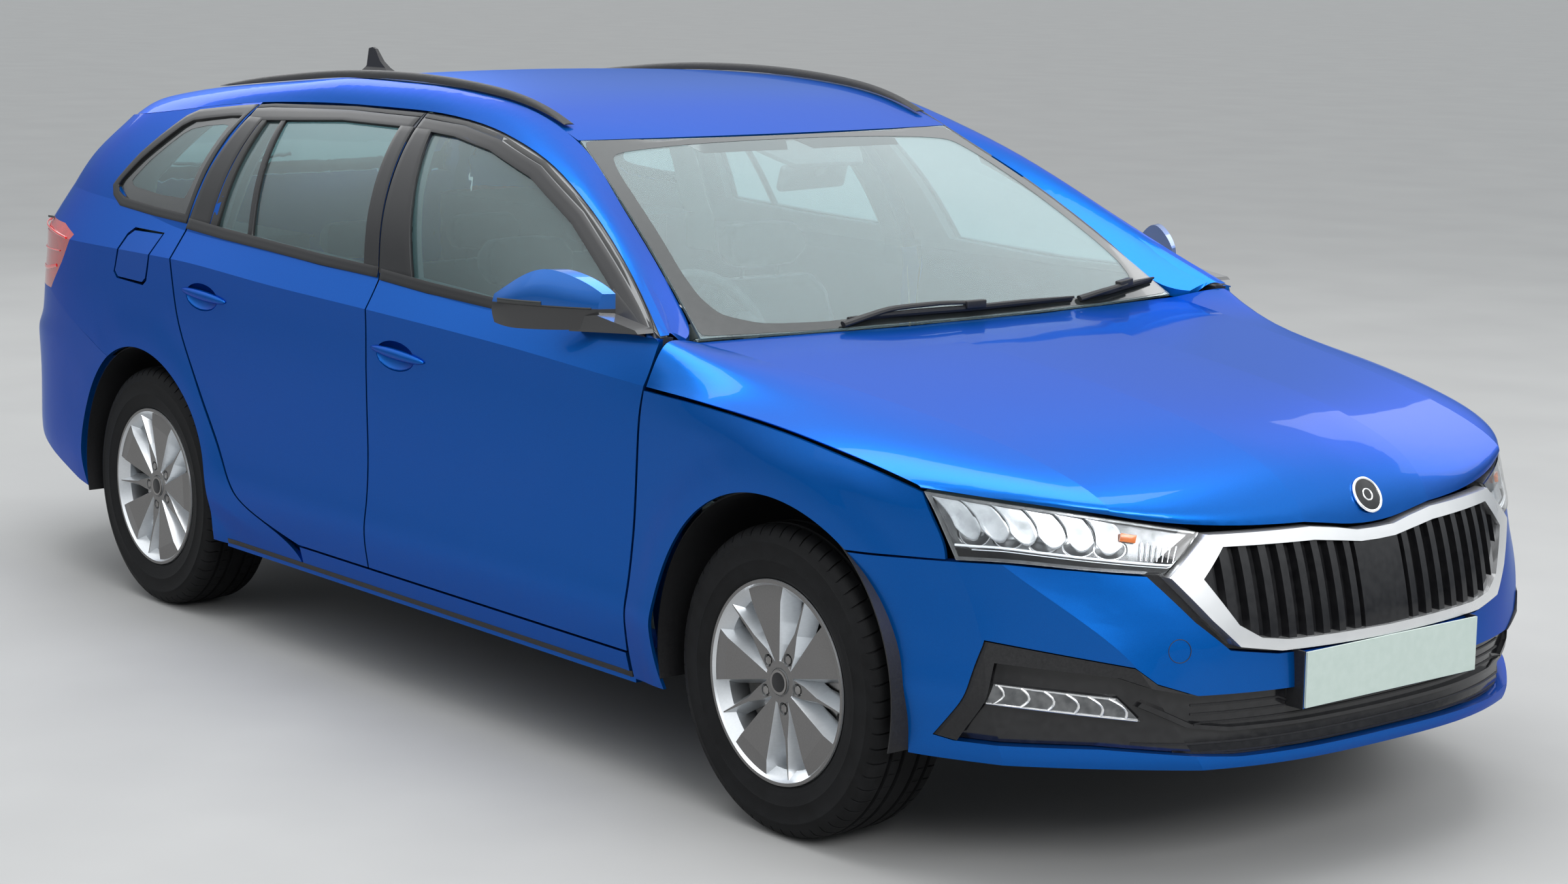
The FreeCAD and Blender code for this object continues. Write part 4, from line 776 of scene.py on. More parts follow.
# lifts off the glass in mm, sections as width and height
wiperSizes = dict(bladeLift=11, lipLift=3.4, blade=(0.013, 0.015), lip=(0.004, 0.006), arm=(0.011, 0.008), thinEnd=0.45,
                  clipHalf=Vector((0.009, 0.03, 0.009)), clipShift=Vector((0.004, 0, 0.009)))
for setup in wiperSetup:
    bladeLine = smoothLine([onScreen(x, y, wiperSizes["bladeLift"]) for x, y in setup["blade"]], 28)
    count = len(bladeLine)
    thin = wiperSizes["thinEnd"]
    taper = [thin + (1 - thin) * min(1.0, 4.0 * min(k, count - 1 - k) / count) for k in range(count)]
    blade = barPiece(bladeLine, *wiperSizes["blade"], screenUp, taper=taper)
    lipLine = smoothLine([onScreen(x, y, wiperSizes["lipLift"]) for x, y in setup["blade"]], 20)
    lip = barPiece(lipLine, *wiperSizes["lip"], screenUp)
    armLine = smoothLine([Vector(setup["foot"])] + [onScreen(*spot) for spot in setup["arm"]], 18)
    arm = barPiece(armLine, *wiperSizes["arm"], screenUp, taper=steps(1.5, 1.0, 17))
    clip = boxPiece(-wiperSizes["clipHalf"], wiperSizes["clipHalf"], 0.003)
    clip.location = bladeLine[count // 2] + wiperSizes["clipShift"]
    turnLine = bladeLine[count // 2 + 1] - bladeLine[count // 2 - 1]
    clip.rotation_euler = turnLine.to_track_quat("Y", "Z").to_euler()
    chosen(clip)
    bpy.ops.object.transform_apply(location=True, rotation=True, scale=True)
    finishPiece(joinPieces([blade, lip, arm, clip]), setup["name"], darkPlastic)

# camera housing and inside mirror behind the glass
housingSetup = dict(rear=414, length=128, half=172, narrower=66, middle=40, lift=-6.5)
housingRows = []
for share in steps(0.0, 1.0, 8):
    x = housingSetup["rear"] + housingSetup["length"] * share
    half = housingSetup["half"] - housingSetup["narrower"] * share ** 1.5
    line = [housingSetup["middle"] + half * w for w in steps(-1, 1, 10)]
    housingRows.append([onScreen(x, y, housingSetup["lift"]) for y in line])
finishPiece(sheetPiece(housingRows, 0.012, screenUp, 0.003), "cameraHousing", cabinPlastic)
insideMirror = boxPiece((-0.012, -0.125, -0.032), (0.012, 0.125, 0.032), 0.011, 4)
insideMirror.location = (0.485, 0.03, 1.250)
insideMirror.rotation_euler = (0, math.radians(14), math.radians(12))
finishPiece(insideMirror, "insideMirror", cabinPlastic)
mirrorStem = barPiece([(0.53, 0.03, 1.284), (0.515, 0.03, 1.272), (0.495, 0.03, 1.262)], 0.03, 0.022, (0, 1, 0))
finishPiece(mirrorStem, "mirrorStem", cabinPlastic)
print("windscreen fittings")


# wheels: tyre with tread and side rings, bolts, cap, brake disc and caliper
wheelSetup = dict(right=-0.7715, left=0.7715, axle=0.326, front=1.4645, rear=-1.2215, pitches=60, boltRing=0.055,
                  frontTurn=-11.5, rearTurn=14.3, frontCaliper=255, rearCaliper=285)
caliperSection = [(0.104, 0.010), (0.104, 0.0462), (0.150, 0.0465), (0.166, 0.036), (0.166, 0.0), (0.150, -0.012)]
tyreHalf = [(207, 87), (213, 91.5), (218, 94.5), (221, 96.2), (225, 96.6), (228, 97.2), (240, 100.4), (251, 101.6),
            (252.5, 102.4), (254.5, 102.4), (256, 101.7), (272, 102.2), (286, 100.8), (287.5, 101.4), (290, 101.2),
            (291.5, 99.9), (303, 96.6), (311, 92), (317, 86.6), (320.5, 80), (323, 73), (324.4, 64), (324.8, 59),
            (318.6, 57.5), (318.6, 50.5), (325.2, 49), (325.6, 38), (325.7, 27), (318.8, 25.5), (318.8, 17.5),
            (325.9, 16), (326, 6)]
# place in the pitch, and whether the shoulder is cut there
pitchColumns = [(0.0, 0), (0.015, 1), (0.10, 1), (0.115, 0), (0.4, 0), (0.7, 0)]


def tyrePiece():
    profile = tyreHalf + [(r, -side) for r, side in reversed(tyreHalf)]
    sections = []
    for pitch in range(wheelSetup["pitches"]):
        for share, cut in pitchColumns:
            section = []
            for r, side in profile:
                sway = 0.22 * (abs(side) - 60) / 30 if abs(side) > 60 else 0.0
                turn = 2 * math.pi * (pitch + share + min(sway, 0.22)) / wheelSetup["pitches"]
                if cut and 62 < abs(side) < 94 and r > 305:
                    r = r - 4.2
                if cut and 28 < abs(side) < 47:
                    r = r - 2.5
                section.append(Vector((r * math.sin(turn) / 1000, side / 1000,
                                       wheelSetup["axle"] + r * math.cos(turn) / 1000)))
            sections.append(section)
    return loftPiece(sections, closed=True)


def turnedSpot(x, y, radius, angle):
    turn = math.radians(angle)
    return Vector((x + radius * math.sin(turn), y, wheelSetup["axle"] + radius * math.cos(turn)))


def roundPiece(centre, radius, depth, bevel, sides=48):
    clearSelection()
    bpy.ops.mesh.primitive_cylinder_add(vertices=sides, radius=radius, depth=depth, location=centre,
                                        rotation=(math.radians(90), 0, 0))
    piece = bpy.context.object
    bpy.ops.object.transform_apply(location=True, rotation=True, scale=True)
    if bevel:
        roundEdges(piece, bevel, 2, 30)
    return piece


# ring with a rectangular section about the wheel's own axis, between two distances from its middle plane
def hoopPiece(x, y, inner, outer, planes, sides=64):
    low, high = sorted(planes)
    sections = []
    for k in range(sides):
        corners = ((inner, low), (outer, low), (outer, high), (inner, high))
        sections.append([turnedSpot(x, y + side, r, 360 * k / sides) for r, side in corners])
    return loftPiece(sections, closed=True)


# one wheel's visual pieces; out is 1 on the left and -1 on the right
def dressWheel(axle, side, out):
    x, y = wheelSetup[axle], wheelSetup[side]
    tag = axle.capitalize() + side.capitalize()
    wheelBody = "wheel_" + axle + "_" + side
    tyre = copyPiece(tyreMaster)
    tyre.location = (x, y, 0)
    finishPiece(tyre, "tyre" + tag, tyreRubber, wheelBody, 28)
    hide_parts("tyre_" + axle + "_" + side)
    bolts = []
    for k in range(5):
        spot = turnedSpot(x, y + out * 0.0745, wheelSetup["boltRing"], 72 * k + 36 + wheelSetup[axle + "Turn"])
        bolts.append(roundPiece(spot, 0.0098, 0.015, 0.0012, 6))
        bolts.append(roundPiece(spot - Vector((0, out * 0.004, 0)), 0.0118, 0.006, 0.0008, 24))
    finishPiece(joinPieces(bolts), "wheelBolts" + tag, discSteel, wheelBody)
    cap = roundPiece(Vector((x, y + out * 0.0866, wheelSetup["axle"])), 0.0205, 0.004, 0.0012)
    finishPiece(cap, "capFace" + tag, trimSatin, wheelBody)
    capRing = hoopPiece(x, y, 0.0205, 0.0255, (out * 0.0855, out * 0.0882), 48)
    finishPiece(capRing, "capRing" + tag, discSteel, wheelBody)
    disc = hoopPiece(x, y, 0.070, 0.142, (out * 0.034, out * 0.043))
    hat = hoopPiece(x, y, 0.026, 0.074, (out * 0.036, out * 0.046))
    finishPiece(joinPieces([disc, hat]), "brakeDisc" + tag, discSteel, wheelBody)
    middle = wheelSetup[axle + "Caliper"]
    caliper = loftPiece([[turnedSpot(x, y + out * s, r, angle) for r, s in caliperSection]
                         for angle in steps(middle - 26, middle + 26, 8)])
    roundEdges(caliper, 0.003, 2, 35)
    finishPiece(caliper, "caliper" + tag, castIron, "knuckle_" + side if axle == "front" else "body")


tyreMaster = tyrePiece()
for axle in ("front", "rear"):
    dressWheel(axle, "right", -1)
    dressWheel(axle, "left", 1)
bpy.data.objects.remove(tyreMaster)
print("wheels")


# headlamps: side fins, white strips, lower plate and reflector behind the clear lens
headlampSetup = dict(
    top=[(1836, -834, 780), (1930, -792, 772), (2010, -736, 763), (2080, -668, 752), (2135, -598, 740),
         (2184, -516, 724), (2219, -430, 709)],
    low=[(1909, -805, 650), (1960, -778, 653), (2005, -745, 656), (2062, -702, 652), (2110, -656, 647),
         (2170, -580, 640), (2220, -489, 633)])
lampTop = smoothLine(headlampSetup["top"], 41)
lampLow = smoothLine(headlampSetup["low"], 41)
lensTree = treeOf("headlamp_lenses")


# share s along the lamp from its outer end, share t from its low edge to its top edge, depth behind the lens
def lampSpot(s, t, depth):
    at = max(0.0, min(1.0, s)) * 40
    k = min(int(at), 39)
    top = lampTop[k].lerp(lampTop[k + 1], at - k)
    low = lampLow[k].lerp(lampLow[k + 1], at - k)
    spot = low.lerp(top, t) / 1000
    ahead = (lampLow[k + 1] - lampLow[k]).normalized()
    out = ahead.cross(Vector((0, 0, 1))).normalized()
    return meetSurface(lensTree, spot + out * 0.1, -out, spot)[0] - out * depth / 1000


# scales in shares of the lamp's length and height, depths in mm; thin ribs follow them towards the nose
scaleSetup = dict(count=6, first=0.045, pitch=0.108, sweep=0.045, belly=0.014, width=0.100, top=0.95, drop=0.66,
                  rounded=0.30, depth=6.5, slant=8.0, hollow=2.0)
ribSetup = dict(count=7, first=0.80, pitch=0.022, lean=((0, 0.62), (0.006, 0.42), (0.012, 0.26)), depth=8)
lampOut = (0.7, -0.7, 0)


def scaleRows(setup, number):
    rows = []
    for drop in steps(0.0, 1.0, 12):
        bow = math.sin(math.pi * drop)
        start = setup["first"] + setup["pitch"] * number + setup["sweep"] * drop + setup["belly"] * bow
        row = []
        for share in steps(0.0, 1.0, 8):
            t = setup["top"] - setup["drop"] * drop * (1 - setup["rounded"] * (2 * share - 1) ** 2)
            depth = setup["depth"] + setup["slant"] * share + setup["hollow"] * bow
            row.append(lampSpot(start + setup["width"] * share, t, depth))
        rows.append(row)
    return rows


lampParts = [sheetPiece(scaleRows(scaleSetup, k), 0.0016, lampOut, 0.0004) for k in range(scaleSetup["count"])]
for k in range(ribSetup["count"]):
    s = ribSetup["first"] + ribSetup["pitch"] * k
    rib = [lampSpot(s + shift, t, ribSetup["depth"]) for shift, t in ribSetup["lean"]]
    lampParts.append(barPiece(rib, 0.0022, 0.004, (0.8, -0.6, 0.1)))
finishPair(joinPieces(lampParts), "lampFins", lampMirror)


# bar along the lamp from a share of its length, its height share falling from one value to another
def lampBar(outer, high, low, thick):
    spots = [lampSpot(s, t, 5.5) for s, t in zip(steps(outer, 0.985, 30), steps(high, low, 30))]
    return barPiece(spots, 0.003, thick)


lightStrips = joinPieces([lampBar(0.055, 0.225, 0.205, 0.0042), lampBar(0.12, 0.165, 0.145, 0.0015)])
finishPair(lightStrips, "lightStrips", lightStrip)
plateRows = [[lampSpot(s, t, 9) for t in (0.03, 0.08, 0.13, 0.17)] for s in steps(0.03, 0.985, 30)]
finishPair(sheetPiece(plateRows, 0.002, lampOut, 0), "lampPlate", darkPlastic)
reflectorRows = [[lampSpot(0.715 + 0.02 * k, t, 7) for t in (0.60, 0.68, 0.76)] for k in range(4)]
finishPair(sheetPiece(reflectorRows, 0.006, lampOut, 0.001), "lampReflector", lampOrange)
print("headlamps")


# spots on the nose seen from the front (y, z) in mm
def noseSpot(tree, y, z, lift):
    y, z = y / 1000, z / 1000
    hit, normal = meetSurface(tree, (2.6, y, z), (-1, 0, 0), (2.3, y, z))
    if normal.x < 0:
        normal = -normal
    return hit + normal * lift / 1000, normal


fogTree = treeOf("fog_lamps")
fogParts = []
for share in steps(0.03, 0.93, 5):
    topY, topZ = -758 + 162 * share, 413 - 18 * share
    lowY, lowZ = -766 + 200 * share, 379 - 22 * share
    line = []
    for q in range(7):
        t = q / 6
        y = topY + (lowY - topY) * t + 10 * math.sin(math.pi * t)
        line.append(noseSpot(fogTree, y, topZ + (lowZ - topZ) * t, 1.5)[0])
    fogParts.append(barPiece(line, 0.0035, 0.007, (1, 0, 0)))
for (y0, z0), (y1, z1) in (((-756, 414), (-598, 396)), ((-767, 378), (-562, 354))):
    line = [noseSpot(fogTree, y, z, 1.0)[0] for y, z in zip(steps(y0, y1, 12), steps(z0, z1, 12))]
    fogParts.append(barPiece(line, 0.004, 0.004, (1, 0, 0)))
finishPair(joinPieces(fogParts), "fogFins", brightChrome)

# thin bars along the lower grille
lowTree = treeOf("lower_grille")
meshParts = []
for z in (268, 286, 304, 344, 362, 380):
    reach = 560 if z < 310 else 470
    spots = [noseSpot(lowTree, y, z, 1.0) for y in steps(-reach, reach, 40)]
    points = [spot for spot, normal in spots if normal.x > 0.3]
    if len(points) > 6:
        meshParts.append(barPiece(points, 0.005, 0.0035, (1, 0, 0), corners=4, power=2))
finishPiece(joinPieces(meshParts), "lowerGrilleBars", darkPlastic)


# round badge place on the bonnet and the seam of the towing eye cap on the bumper
def layOn(tree, y, z, lift):
    spot, normal = noseSpot(tree, y, z, lift)
    piece = bpy.context.object
    piece.rotation_euler = normal.to_track_quat("Z", "Y").to_euler()
    piece.location = spot
    bpy.ops.object.transform_apply(location=True, rotation=True, scale=True)
    return piece


def discOn(tree, y, z, radius, depth, lift):
    clearSelection()
    bpy.ops.mesh.primitive_cylinder_add(vertices=64, radius=radius, depth=depth)
    piece = layOn(tree, y, z, lift)
    roundEdges(piece, 0.0008, 2, 30)
    return piece


def hoopOn(tree, y, z, radius, thick, lift):
    clearSelection()
    bpy.ops.mesh.primitive_torus_add(major_radius=radius, minor_radius=thick, major_segments=72, minor_segments=10)
    return layOn(tree, y, z, lift)


bonnetTree = treeOf("bonnet_panel")
bumperTree = treeOf("front_bumper")
finishPiece(discOn(bonnetTree, 3, 741, 0.036, 0.006, 1.2), "badgeDisc", glossBlack, "bonnet")
finishPiece(hoopOn(bonnetTree, 3, 741, 0.0355, 0.0030, 3.4), "badgeRing", brightChrome, "bonnet")
finishPiece(hoopOn(bonnetTree, 3, 741, 0.012, 0.0016, 4.2), "badgeHub", brightChrome, "bonnet")
finishPiece(hoopOn(bumperTree, -503, 491, 0.0225, 0.0007, 0.1), "towCapSeam", sealRubber)
print("nose details")

# thin black edge along the bottom of the sills, cast from the side
sillTree = treeOf("side_frame_right")
sillRows = []
sillSetup = dict(rear=-0.80, front=0.98, heights=(0.2395, 0.246, 0.2525), side=-0.87, lift=0.0012)
for x in steps(sillSetup["rear"], sillSetup["front"], 39):
    row = []
    for z in sillSetup["heights"]:
        spot = meetSurface(sillTree, (x, -1.3, z), (0, 1, 0), (x, sillSetup["side"], z))[0]
        row.append(Vector((x, spot.y - sillSetup["lift"], z)))
    sillRows.append(row)
finishPair(sheetPiece(sillRows, 0.004, (0, -1, 0), 0.0008), "sillEdge", darkPlastic)

# indicator strip and seam on the mirrors
mirrorTree = treeOf("mirror_right")
mirrorSetup = dict(start=Vector((0.89, -0.88, 1.034)), run=Vector((-0.245, -0.117, 0)), lift=0.0006,
                   out=Vector((0.43, -0.90, 0.0)).normalized())
mirrorLine = []
for share in steps(0.10, 0.96, 24):
    out = mirrorSetup["out"]
    hit = mirrorTree.ray_cast(mirrorSetup["start"] + mirrorSetup["run"] * share + out * 0.25, -out)[0]
    if hit is not None:
        mirrorLine.append(hit + out * mirrorSetup["lift"])
seam = barPiece(mirrorLine, 0.003, 0.004)
strip = barPiece([spot + Vector((0, 0, 0.006)) for spot in mirrorLine[12:]], 0.0035, 0.008)
finishPair(seam, "mirrorSeam", sealRubber, body="front_door_right")
finishPair(strip, "mirrorLight", ceramicBlack, "front_door_right")
print("sills and mirrors")


# rear: spots on the tail seen from behind (y, z) in mm
def rearSpot(tree, y, z, lift):
    y, z = y / 1000, z / 1000
    hit, normal = meetSurface(tree, (-2.6, y, z), (1, 0, 0), (-2.3, y, z))
    if normal.x > 0:
        normal = -normal
    return hit + normal * lift / 1000


gateTree = treeOf("tailgate_panel")
gateGlassTree = treeOf("tailgate_glass")
rearBumperTree = treeOf("rear_bumper")
rearSetup = dict(
    glassOuter=[(0, 1077), (-300, 1077), (-520, 1078), (-574, 1082), (-580, 1092), (-540, 1185), (-504, 1264),
                (-494, 1272), (-300, 1274), (0, 1274)],
    glassInner=[(0, 1118), (-300, 1118), (-490, 1119), (-522, 1122), (-524, 1132), (-498, 1190), (-474, 1238),
                (-466, 1245), (-300, 1248), (0, 1248)])


def rearLoop(half):
    return half + [(-y, z) for y, z in reversed(half)][1:]


glassLow, glassHigh = pairedLines(rearLoop(rearSetup["glassOuter"]), rearLoop(rearSetup["glassInner"]), 5)
glassRows = []
for (y0, z0), (y1, z1) in zip(glassLow, glassHigh):
    glassRows.append([rearSpot(gateGlassTree, y, z, 0.8) for y, z in zip(steps(y0, y1, 3), steps(z0, z1, 3))])
finishPiece(ringPiece(glassRows, 0.0005, (-1, 0, 0)), "rearGlassBorder", ceramicBlack, "tailgate")

rearBack = (-1, 0, 0.3)
bladeSpots = [rearSpot(gateGlassTree, y, 1128 + 10 * math.sin((y + 40) / 120), 9) for y in range(-350, 60, 20)]
armLine = [(10, 1092, 16), (-40, 1098, 20), (-110, 1112, 20), (-170, 1128, 17)]
armSpots = [rearSpot(gateGlassTree, *spot) for spot in armLine]
rearBlade = barPiece(bladeSpots, 0.010, 0.012, rearBack)
rearArm = barPiece(armSpots, 0.018, 0.010, rearBack, taper=[1.2, 1.0, 0.8, 0.6])
finishPiece(joinPieces([rearBlade, rearArm]), "rearWiper", darkPlastic, body="tailgate")

panelRows = [[rearSpot(gateTree, y, z, 0.6) for z in (722, 740, 780, 820, 860, 884, 892)]
             for y in steps(-330, 330, 32)]
finishPiece(sheetPiece(panelRows, 0.004, (-1, 0, 0), 0.001), "gatePlatePanel", trimSatin, body="tailgate")
plateX = rearSpot(gateTree, 0, 800, 0).x - 0.010
rearPlate = boxPiece((plateX, -0.26, 0.742), (plateX + 0.003, 0.26, 0.853), 0.0012, 2)
finishPiece(rearPlate, "rearPlate", platePale, "tailgate")
plateBack = boxPiece((plateX + 0.0031, -0.245, 0.750), (plateX + 0.05, 0.245, 0.846), 0.002, 2)
finishPiece(plateBack, "rearPlateBack", darkPlastic, body="tailgate")
grip = barPiece([rearSpot(gateTree, y, 880, 6) for y in range(-120, 121, 20)], 0.022, 0.010, (-1, 0, 0))
finishPiece(grip, "gateGrip", glossBlack, "tailgate")

# deflector beside the rear glass: it covers the widening gap between the tailgate and the side frame
finSetup = dict(lift=6.5, thickness=0.0025,
                rows=[(1056, -676, -658, -596), (1080, -678, -656, -566), (1120, -670, -638, -548),
                      (1160, -665, -618, -529), (1200, -660, -616, -510), (1240, -646, -596, -491),
                      (1280, -612, -578, -478), (1304, -592, -556, -478), (1322, -574, -540, -478)])


def gateSpot(y, z, lift):
    hits = [tree.ray_cast(Vector((-2.6, y / 1000, z / 1000)), (1, 0, 0))[0] for tree in (gateTree, gateGlassTree)]
    x = min(hit.x for hit in hits if hit is not None)
    return Vector((x - lift / 1000, y / 1000, z / 1000))


finRows = []
for z, outer, edge, inner in finSetup["rows"]:
    near, far = gateSpot(edge, z, finSetup["lift"]), gateSpot(edge + 20, z, finSetup["lift"])
    slope = (far.x - near.x) / 0.020
    row = [Vector((near.x + slope * (y - edge) / 1000, y / 1000, z / 1000)) for y in (outer, (outer + edge) / 2)]
    for k in range(4):
        y = edge + (inner - edge) * k / 3
        row.append(gateSpot(y, z, finSetup["lift"] - 1.2 * k))
    finRows.append(smoothLine(row, 12))
finColumns = [smoothLine(list(column), 26) for column in zip(*finRows)]
rearFin = sheetPiece(finColumns, finSetup["thickness"], (-1, 0, 0), 0.0006)
finishPair(rearFin, "rearFin", glossBlack, "tailgate")

# lower trim and reflectors of the rear bumper
valanceSetup = dict(half=700, low=400, high=478, fall=40)
valanceRows = []
for y in steps(-valanceSetup["half"], valanceSetup["half"], 48):
    top = valanceSetup["high"] - valanceSetup["fall"] * (abs(y) / valanceSetup["half"]) ** 4
    valanceRows.append([rearSpot(rearBumperTree, y, z, 1.2) for z in steps(valanceSetup["low"], top, 5)])
finishPiece(sheetPiece(valanceRows, 0.006, (-1, 0, 0), 0.0015), "rearLowerTrim", darkPlastic)
for side, tag in ((-1, "Right"), (1, "Left")):
    redRows = [[rearSpot(rearBumperTree, side * y, z, 3.0) for z in (500, 509, 518)] for y in steps(520, 690, 12)]
    finishPiece(sheetPiece(redRows, 0.004, (-1, 0, 0), 0.001), "rearReflector" + tag, lampRed)

tailTree = treeOf("tail_lamps")
tailParts = []
for points, height in (([(-1640, -915, 972), (-1800, -905, 986), (-2000, -860, 994), (-2150, -760, 994)], 0.007),
                       ([(-1740, -915, 885), (-1850, -905, 868), (-2000, -860, 862), (-2200, -740, 862)], 0.010),
                       ([(-1700, -915, 930), (-1850, -900, 925), (-2000, -860, 922), (-2180, -750, 922)], 0.004)):
    line = []
    for spot in smoothLine([(x / 1000, y / 1000, z / 1000) for x, y, z in points], 24):
        near = tailTree.find_nearest(spot)[0]
        out = Vector((spot.x + 1.2, spot.y, 0)).normalized()
        line.append(Vector((near.x, near.y, spot.z)) + out * 0.0006)
    tailParts.append(barPiece(line, 0.004, height))
finishPair(joinPieces(tailParts), "tailLampBars", lampRedBright)

# trims beside the load space, over the wheel arches and behind the lamps
wallLine = [(-0.99, -0.70), (-0.99, -0.49), (-1.02, -0.484), (-1.50, -0.484), (-1.90, -0.49), (-1.965, -0.54),
            (-1.985, -0.655)]
wallPath = smoothLine([(x, y, 0) for x, y in wallLine], 40, 1)
wallRows = [[Vector((spot.x, spot.y, z)) for z in (0.415, 0.60, 0.80, 1.0, 1.012)] for spot in wallPath]
loadWall = sheetPiece(wallRows, 0.006, (0.2, 1, 0), 0.001)
lidRows = [[Vector((x, y, 1.012)) for y in (-0.486, -0.58, -0.68, -0.76, -0.835)] for x in steps(-0.995, -1.895, 20)]
finishPair(joinPieces([loadWall, sheetPiece(lidRows, 0.006, (0, 0, 1), 0.001)]), "loadSideTrim", cabinPlastic)

# dark shell round the front plate's plinth: painted shade over the plinth's sides, which are body colour
plinthShade = joinPieces([boxPiece((2.296, -0.2632, 0.363), (2.3395, -0.2602, 0.4765), 0.0006, 1),
                     boxPiece((2.296, 0.2602, 0.363), (2.3395, 0.2632, 0.4765), 0.0006, 1),
                     boxPiece((2.296, -0.2632, 0.3605), (2.3395, 0.2632, 0.3635), 0.0006, 1)])
finishPiece(plinthShade, "plateShadeShell", darkPlastic)
print("rear and plates")


# cabin: lining, pillar trims, dashboard, steering wheel
liningSetup = dict(xFront=0.40, xRear=-1.62, half=0.52, drop=0.008, thick=0.004)
roofTree = treeOf("roof_panel")
liningRows = []
for x in steps(liningSetup["xFront"], liningSetup["xRear"], 23):
    row = []
    for y in steps(-liningSetup["half"], liningSetup["half"], 16):
        hit = roofTree.ray_cast(Vector((x, y, 1.0)), (0, 0, 1))[0]
        under = hit.z if hit is not None else roofTree.find_nearest(Vector((x, y, 1.35)))[0].z - 0.02
        row.append(Vector((x, y, under - liningSetup["drop"])))
    liningRows.append(row)
finishPiece(sheetPiece(liningRows, liningSetup["thick"], (0, 0, -1), 0), "headLining", liningCloth)

# pale trims inside the side pillars, as lines (x, z) with the depth below the outer skin
pillarSetup = [
    dict(name="midPillarTrim", depth=0.085,
         low=[(-20, 700), (-30, 1000), (-165, 1350)], high=[(-130, 700), (-112, 1000), (-236, 1350)]),
    dict(name="frontPillarTrim", depth=0.075,
         low=[(1020, 960), (860, 1075), (600, 1205), (400, 1280)],
         high=[(960, 960), (800, 1060), (560, 1180), (390, 1250)]),
    dict(name="rearPillarTrim", depth=0.085,
         low=[(-900, 900), (-900, 1060), (-880, 1340)], high=[(-1040, 900), (-1030, 1080), (-990, 1330)]),
    dict(name="loadPillarTrim", depth=0.10,
         low=[(-1330, 900), (-1400, 1140), (-1220, 1320)], high=[(-1640, 900), (-1640, 1140), (-1560, 1290)])]
for setup in pillarSetup:
    rows = sideRows(setup["low"], setup["high"], 9, 3, 0.0)
    for row in rows:
        for point in row:
            fall = max(0.0, 1.0 - point.z) * 0.06
            point.y = sideY(point.x, max(point.z, 1.005)) + setup["depth"] - fall
    finishPair(sheetPiece(rows, 0.006, (0, 1, 0), 0.0015), setup["name"], liningCloth)

dashSetup = dict(half=0.692, hoodMiddle=-0.38, hoodHalf=0.19,
                 section=[(0.706, 0.724), (0.703, 0.79), (0.708, 0.842), (0.728, 0.872), (0.775, 0.892), (0.85, 0.902),
                          (0.93, 0.900), (0.99, 0.888), (1.008, 0.86), (1.008, 0.724)])
dashRows = []
for y in steps(-dashSetup["half"], dashSetup["half"], 40):
    away = abs(y - dashSetup["hoodMiddle"]) / dashSetup["hoodHalf"]
    rise = 0.026 * max(0.0, 1 - away ** 4)
    corner = 0.02 * max(0.0, (abs(y) - 0.62) / 0.072) ** 2
    row = []
    for x, z in dashSetup["section"]:
        hood = rise * math.sin(math.pi * (x - 0.7) / 0.31) if z > 0.84 else 0
        row.append(Vector((x, y, z + hood - corner)))
    dashRows.append(row)
dash = loftPiece(dashRows)
roundEdges(dash, 0.006, 3, 50)
finishPiece(dash, "dashTop", cabinPlastic, smooth=40)
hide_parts("dashboard")
dials = boxPiece((0.722, -0.52, 0.865), (0.742, -0.24, 0.925), 0.008, 3)
finishPiece(dials, "dialPanel", ceramicBlack)
screenPanel = boxPiece((0.688, -0.115, 0.80), (0.704, 0.115, 0.925), 0.006, 3)
finishPiece(screenPanel, "centreScreen", ceramicBlack)

steerSetup = dict(middle=(0.60, -0.38, 0.875), radius=0.178, rimRadius=0.0155, tilt=-24)
clearSelection()
bpy.ops.mesh.primitive_torus_add(major_radius=steerSetup["radius"], minor_radius=steerSetup["rimRadius"],
                                 major_segments=72, minor_segments=16)
steerRim = bpy.context.object
hubPad = boxPiece((-0.062, -0.052, -0.022), (0.062, 0.052, 0.022), 0.02, 4)
spokes = [barPiece([(0, side * 0.045, 0), (0, side * 0.11, 0.002), (0, side * 0.17, 0)], 0.034, 0.014)
          for side in (1, -1)]
spokeLow = barPiece([(0.045, 0, 0), (0.11, 0, 0.002), (0.17, 0, 0)], 0.04, 0.014)
column = barPiece([(0, 0, 0.015), (0, 0, 0.08), (0, 0, 0.17)], 0.07, 0.07, (0, 1, 0))
steering = joinPieces([steerRim, hubPad] + spokes + [spokeLow, column])
steering.rotation_euler = (0, math.radians(90 + steerSetup["tilt"]), 0)
steering.location = steerSetup["middle"]
finishPiece(steering, "steeringWheel", cabinPlastic, smooth=45)
print("dashboard and steering wheel")


# seats: blown up a little as cloth, then smoothed
def swell(piece, voxel, cap, pressure=4.0):
    chosen(piece)
    remesh = piece.modifiers.new("voxels", "REMESH")
    remesh.mode = "VOXEL"
    remesh.voxel_size = voxel
    applyModifiers(piece)
    start = [vertex.co.copy() for vertex in piece.data.vertices]
    cloth = piece.modifiers.new("padding", "CLOTH")
    cloth.settings.use_pressure = True
    cloth.settings.uniform_pressure_force = pressure
    cloth.settings.effector_weights.gravity = 0
    cloth.settings.quality = 4
    for number in range(1, 21):
        bpy.context.scene.frame_set(number)
    seen = piece.evaluated_get(bpy.context.evaluated_depsgraph_get())
    moved = [vertex.co.copy() for vertex in seen.data.vertices]
    piece.modifiers.remove(cloth)
    for vertex, was, now in zip(piece.data.vertices, start, moved):
        shift = now - was
        if shift.length > cap:
            shift = shift * (cap / shift.length)
        vertex.co = was + shift
    bpy.context.scene.frame_set(1)


def padPiece(sections, voxel, cap):
    piece = loftPiece(sections)
    swell(piece, voxel, cap)
    even = piece.modifiers.new("even", "SMOOTH")
    even.factor = 0.5
    even.iterations = 6
    applyModifiers(piece)
    return piece


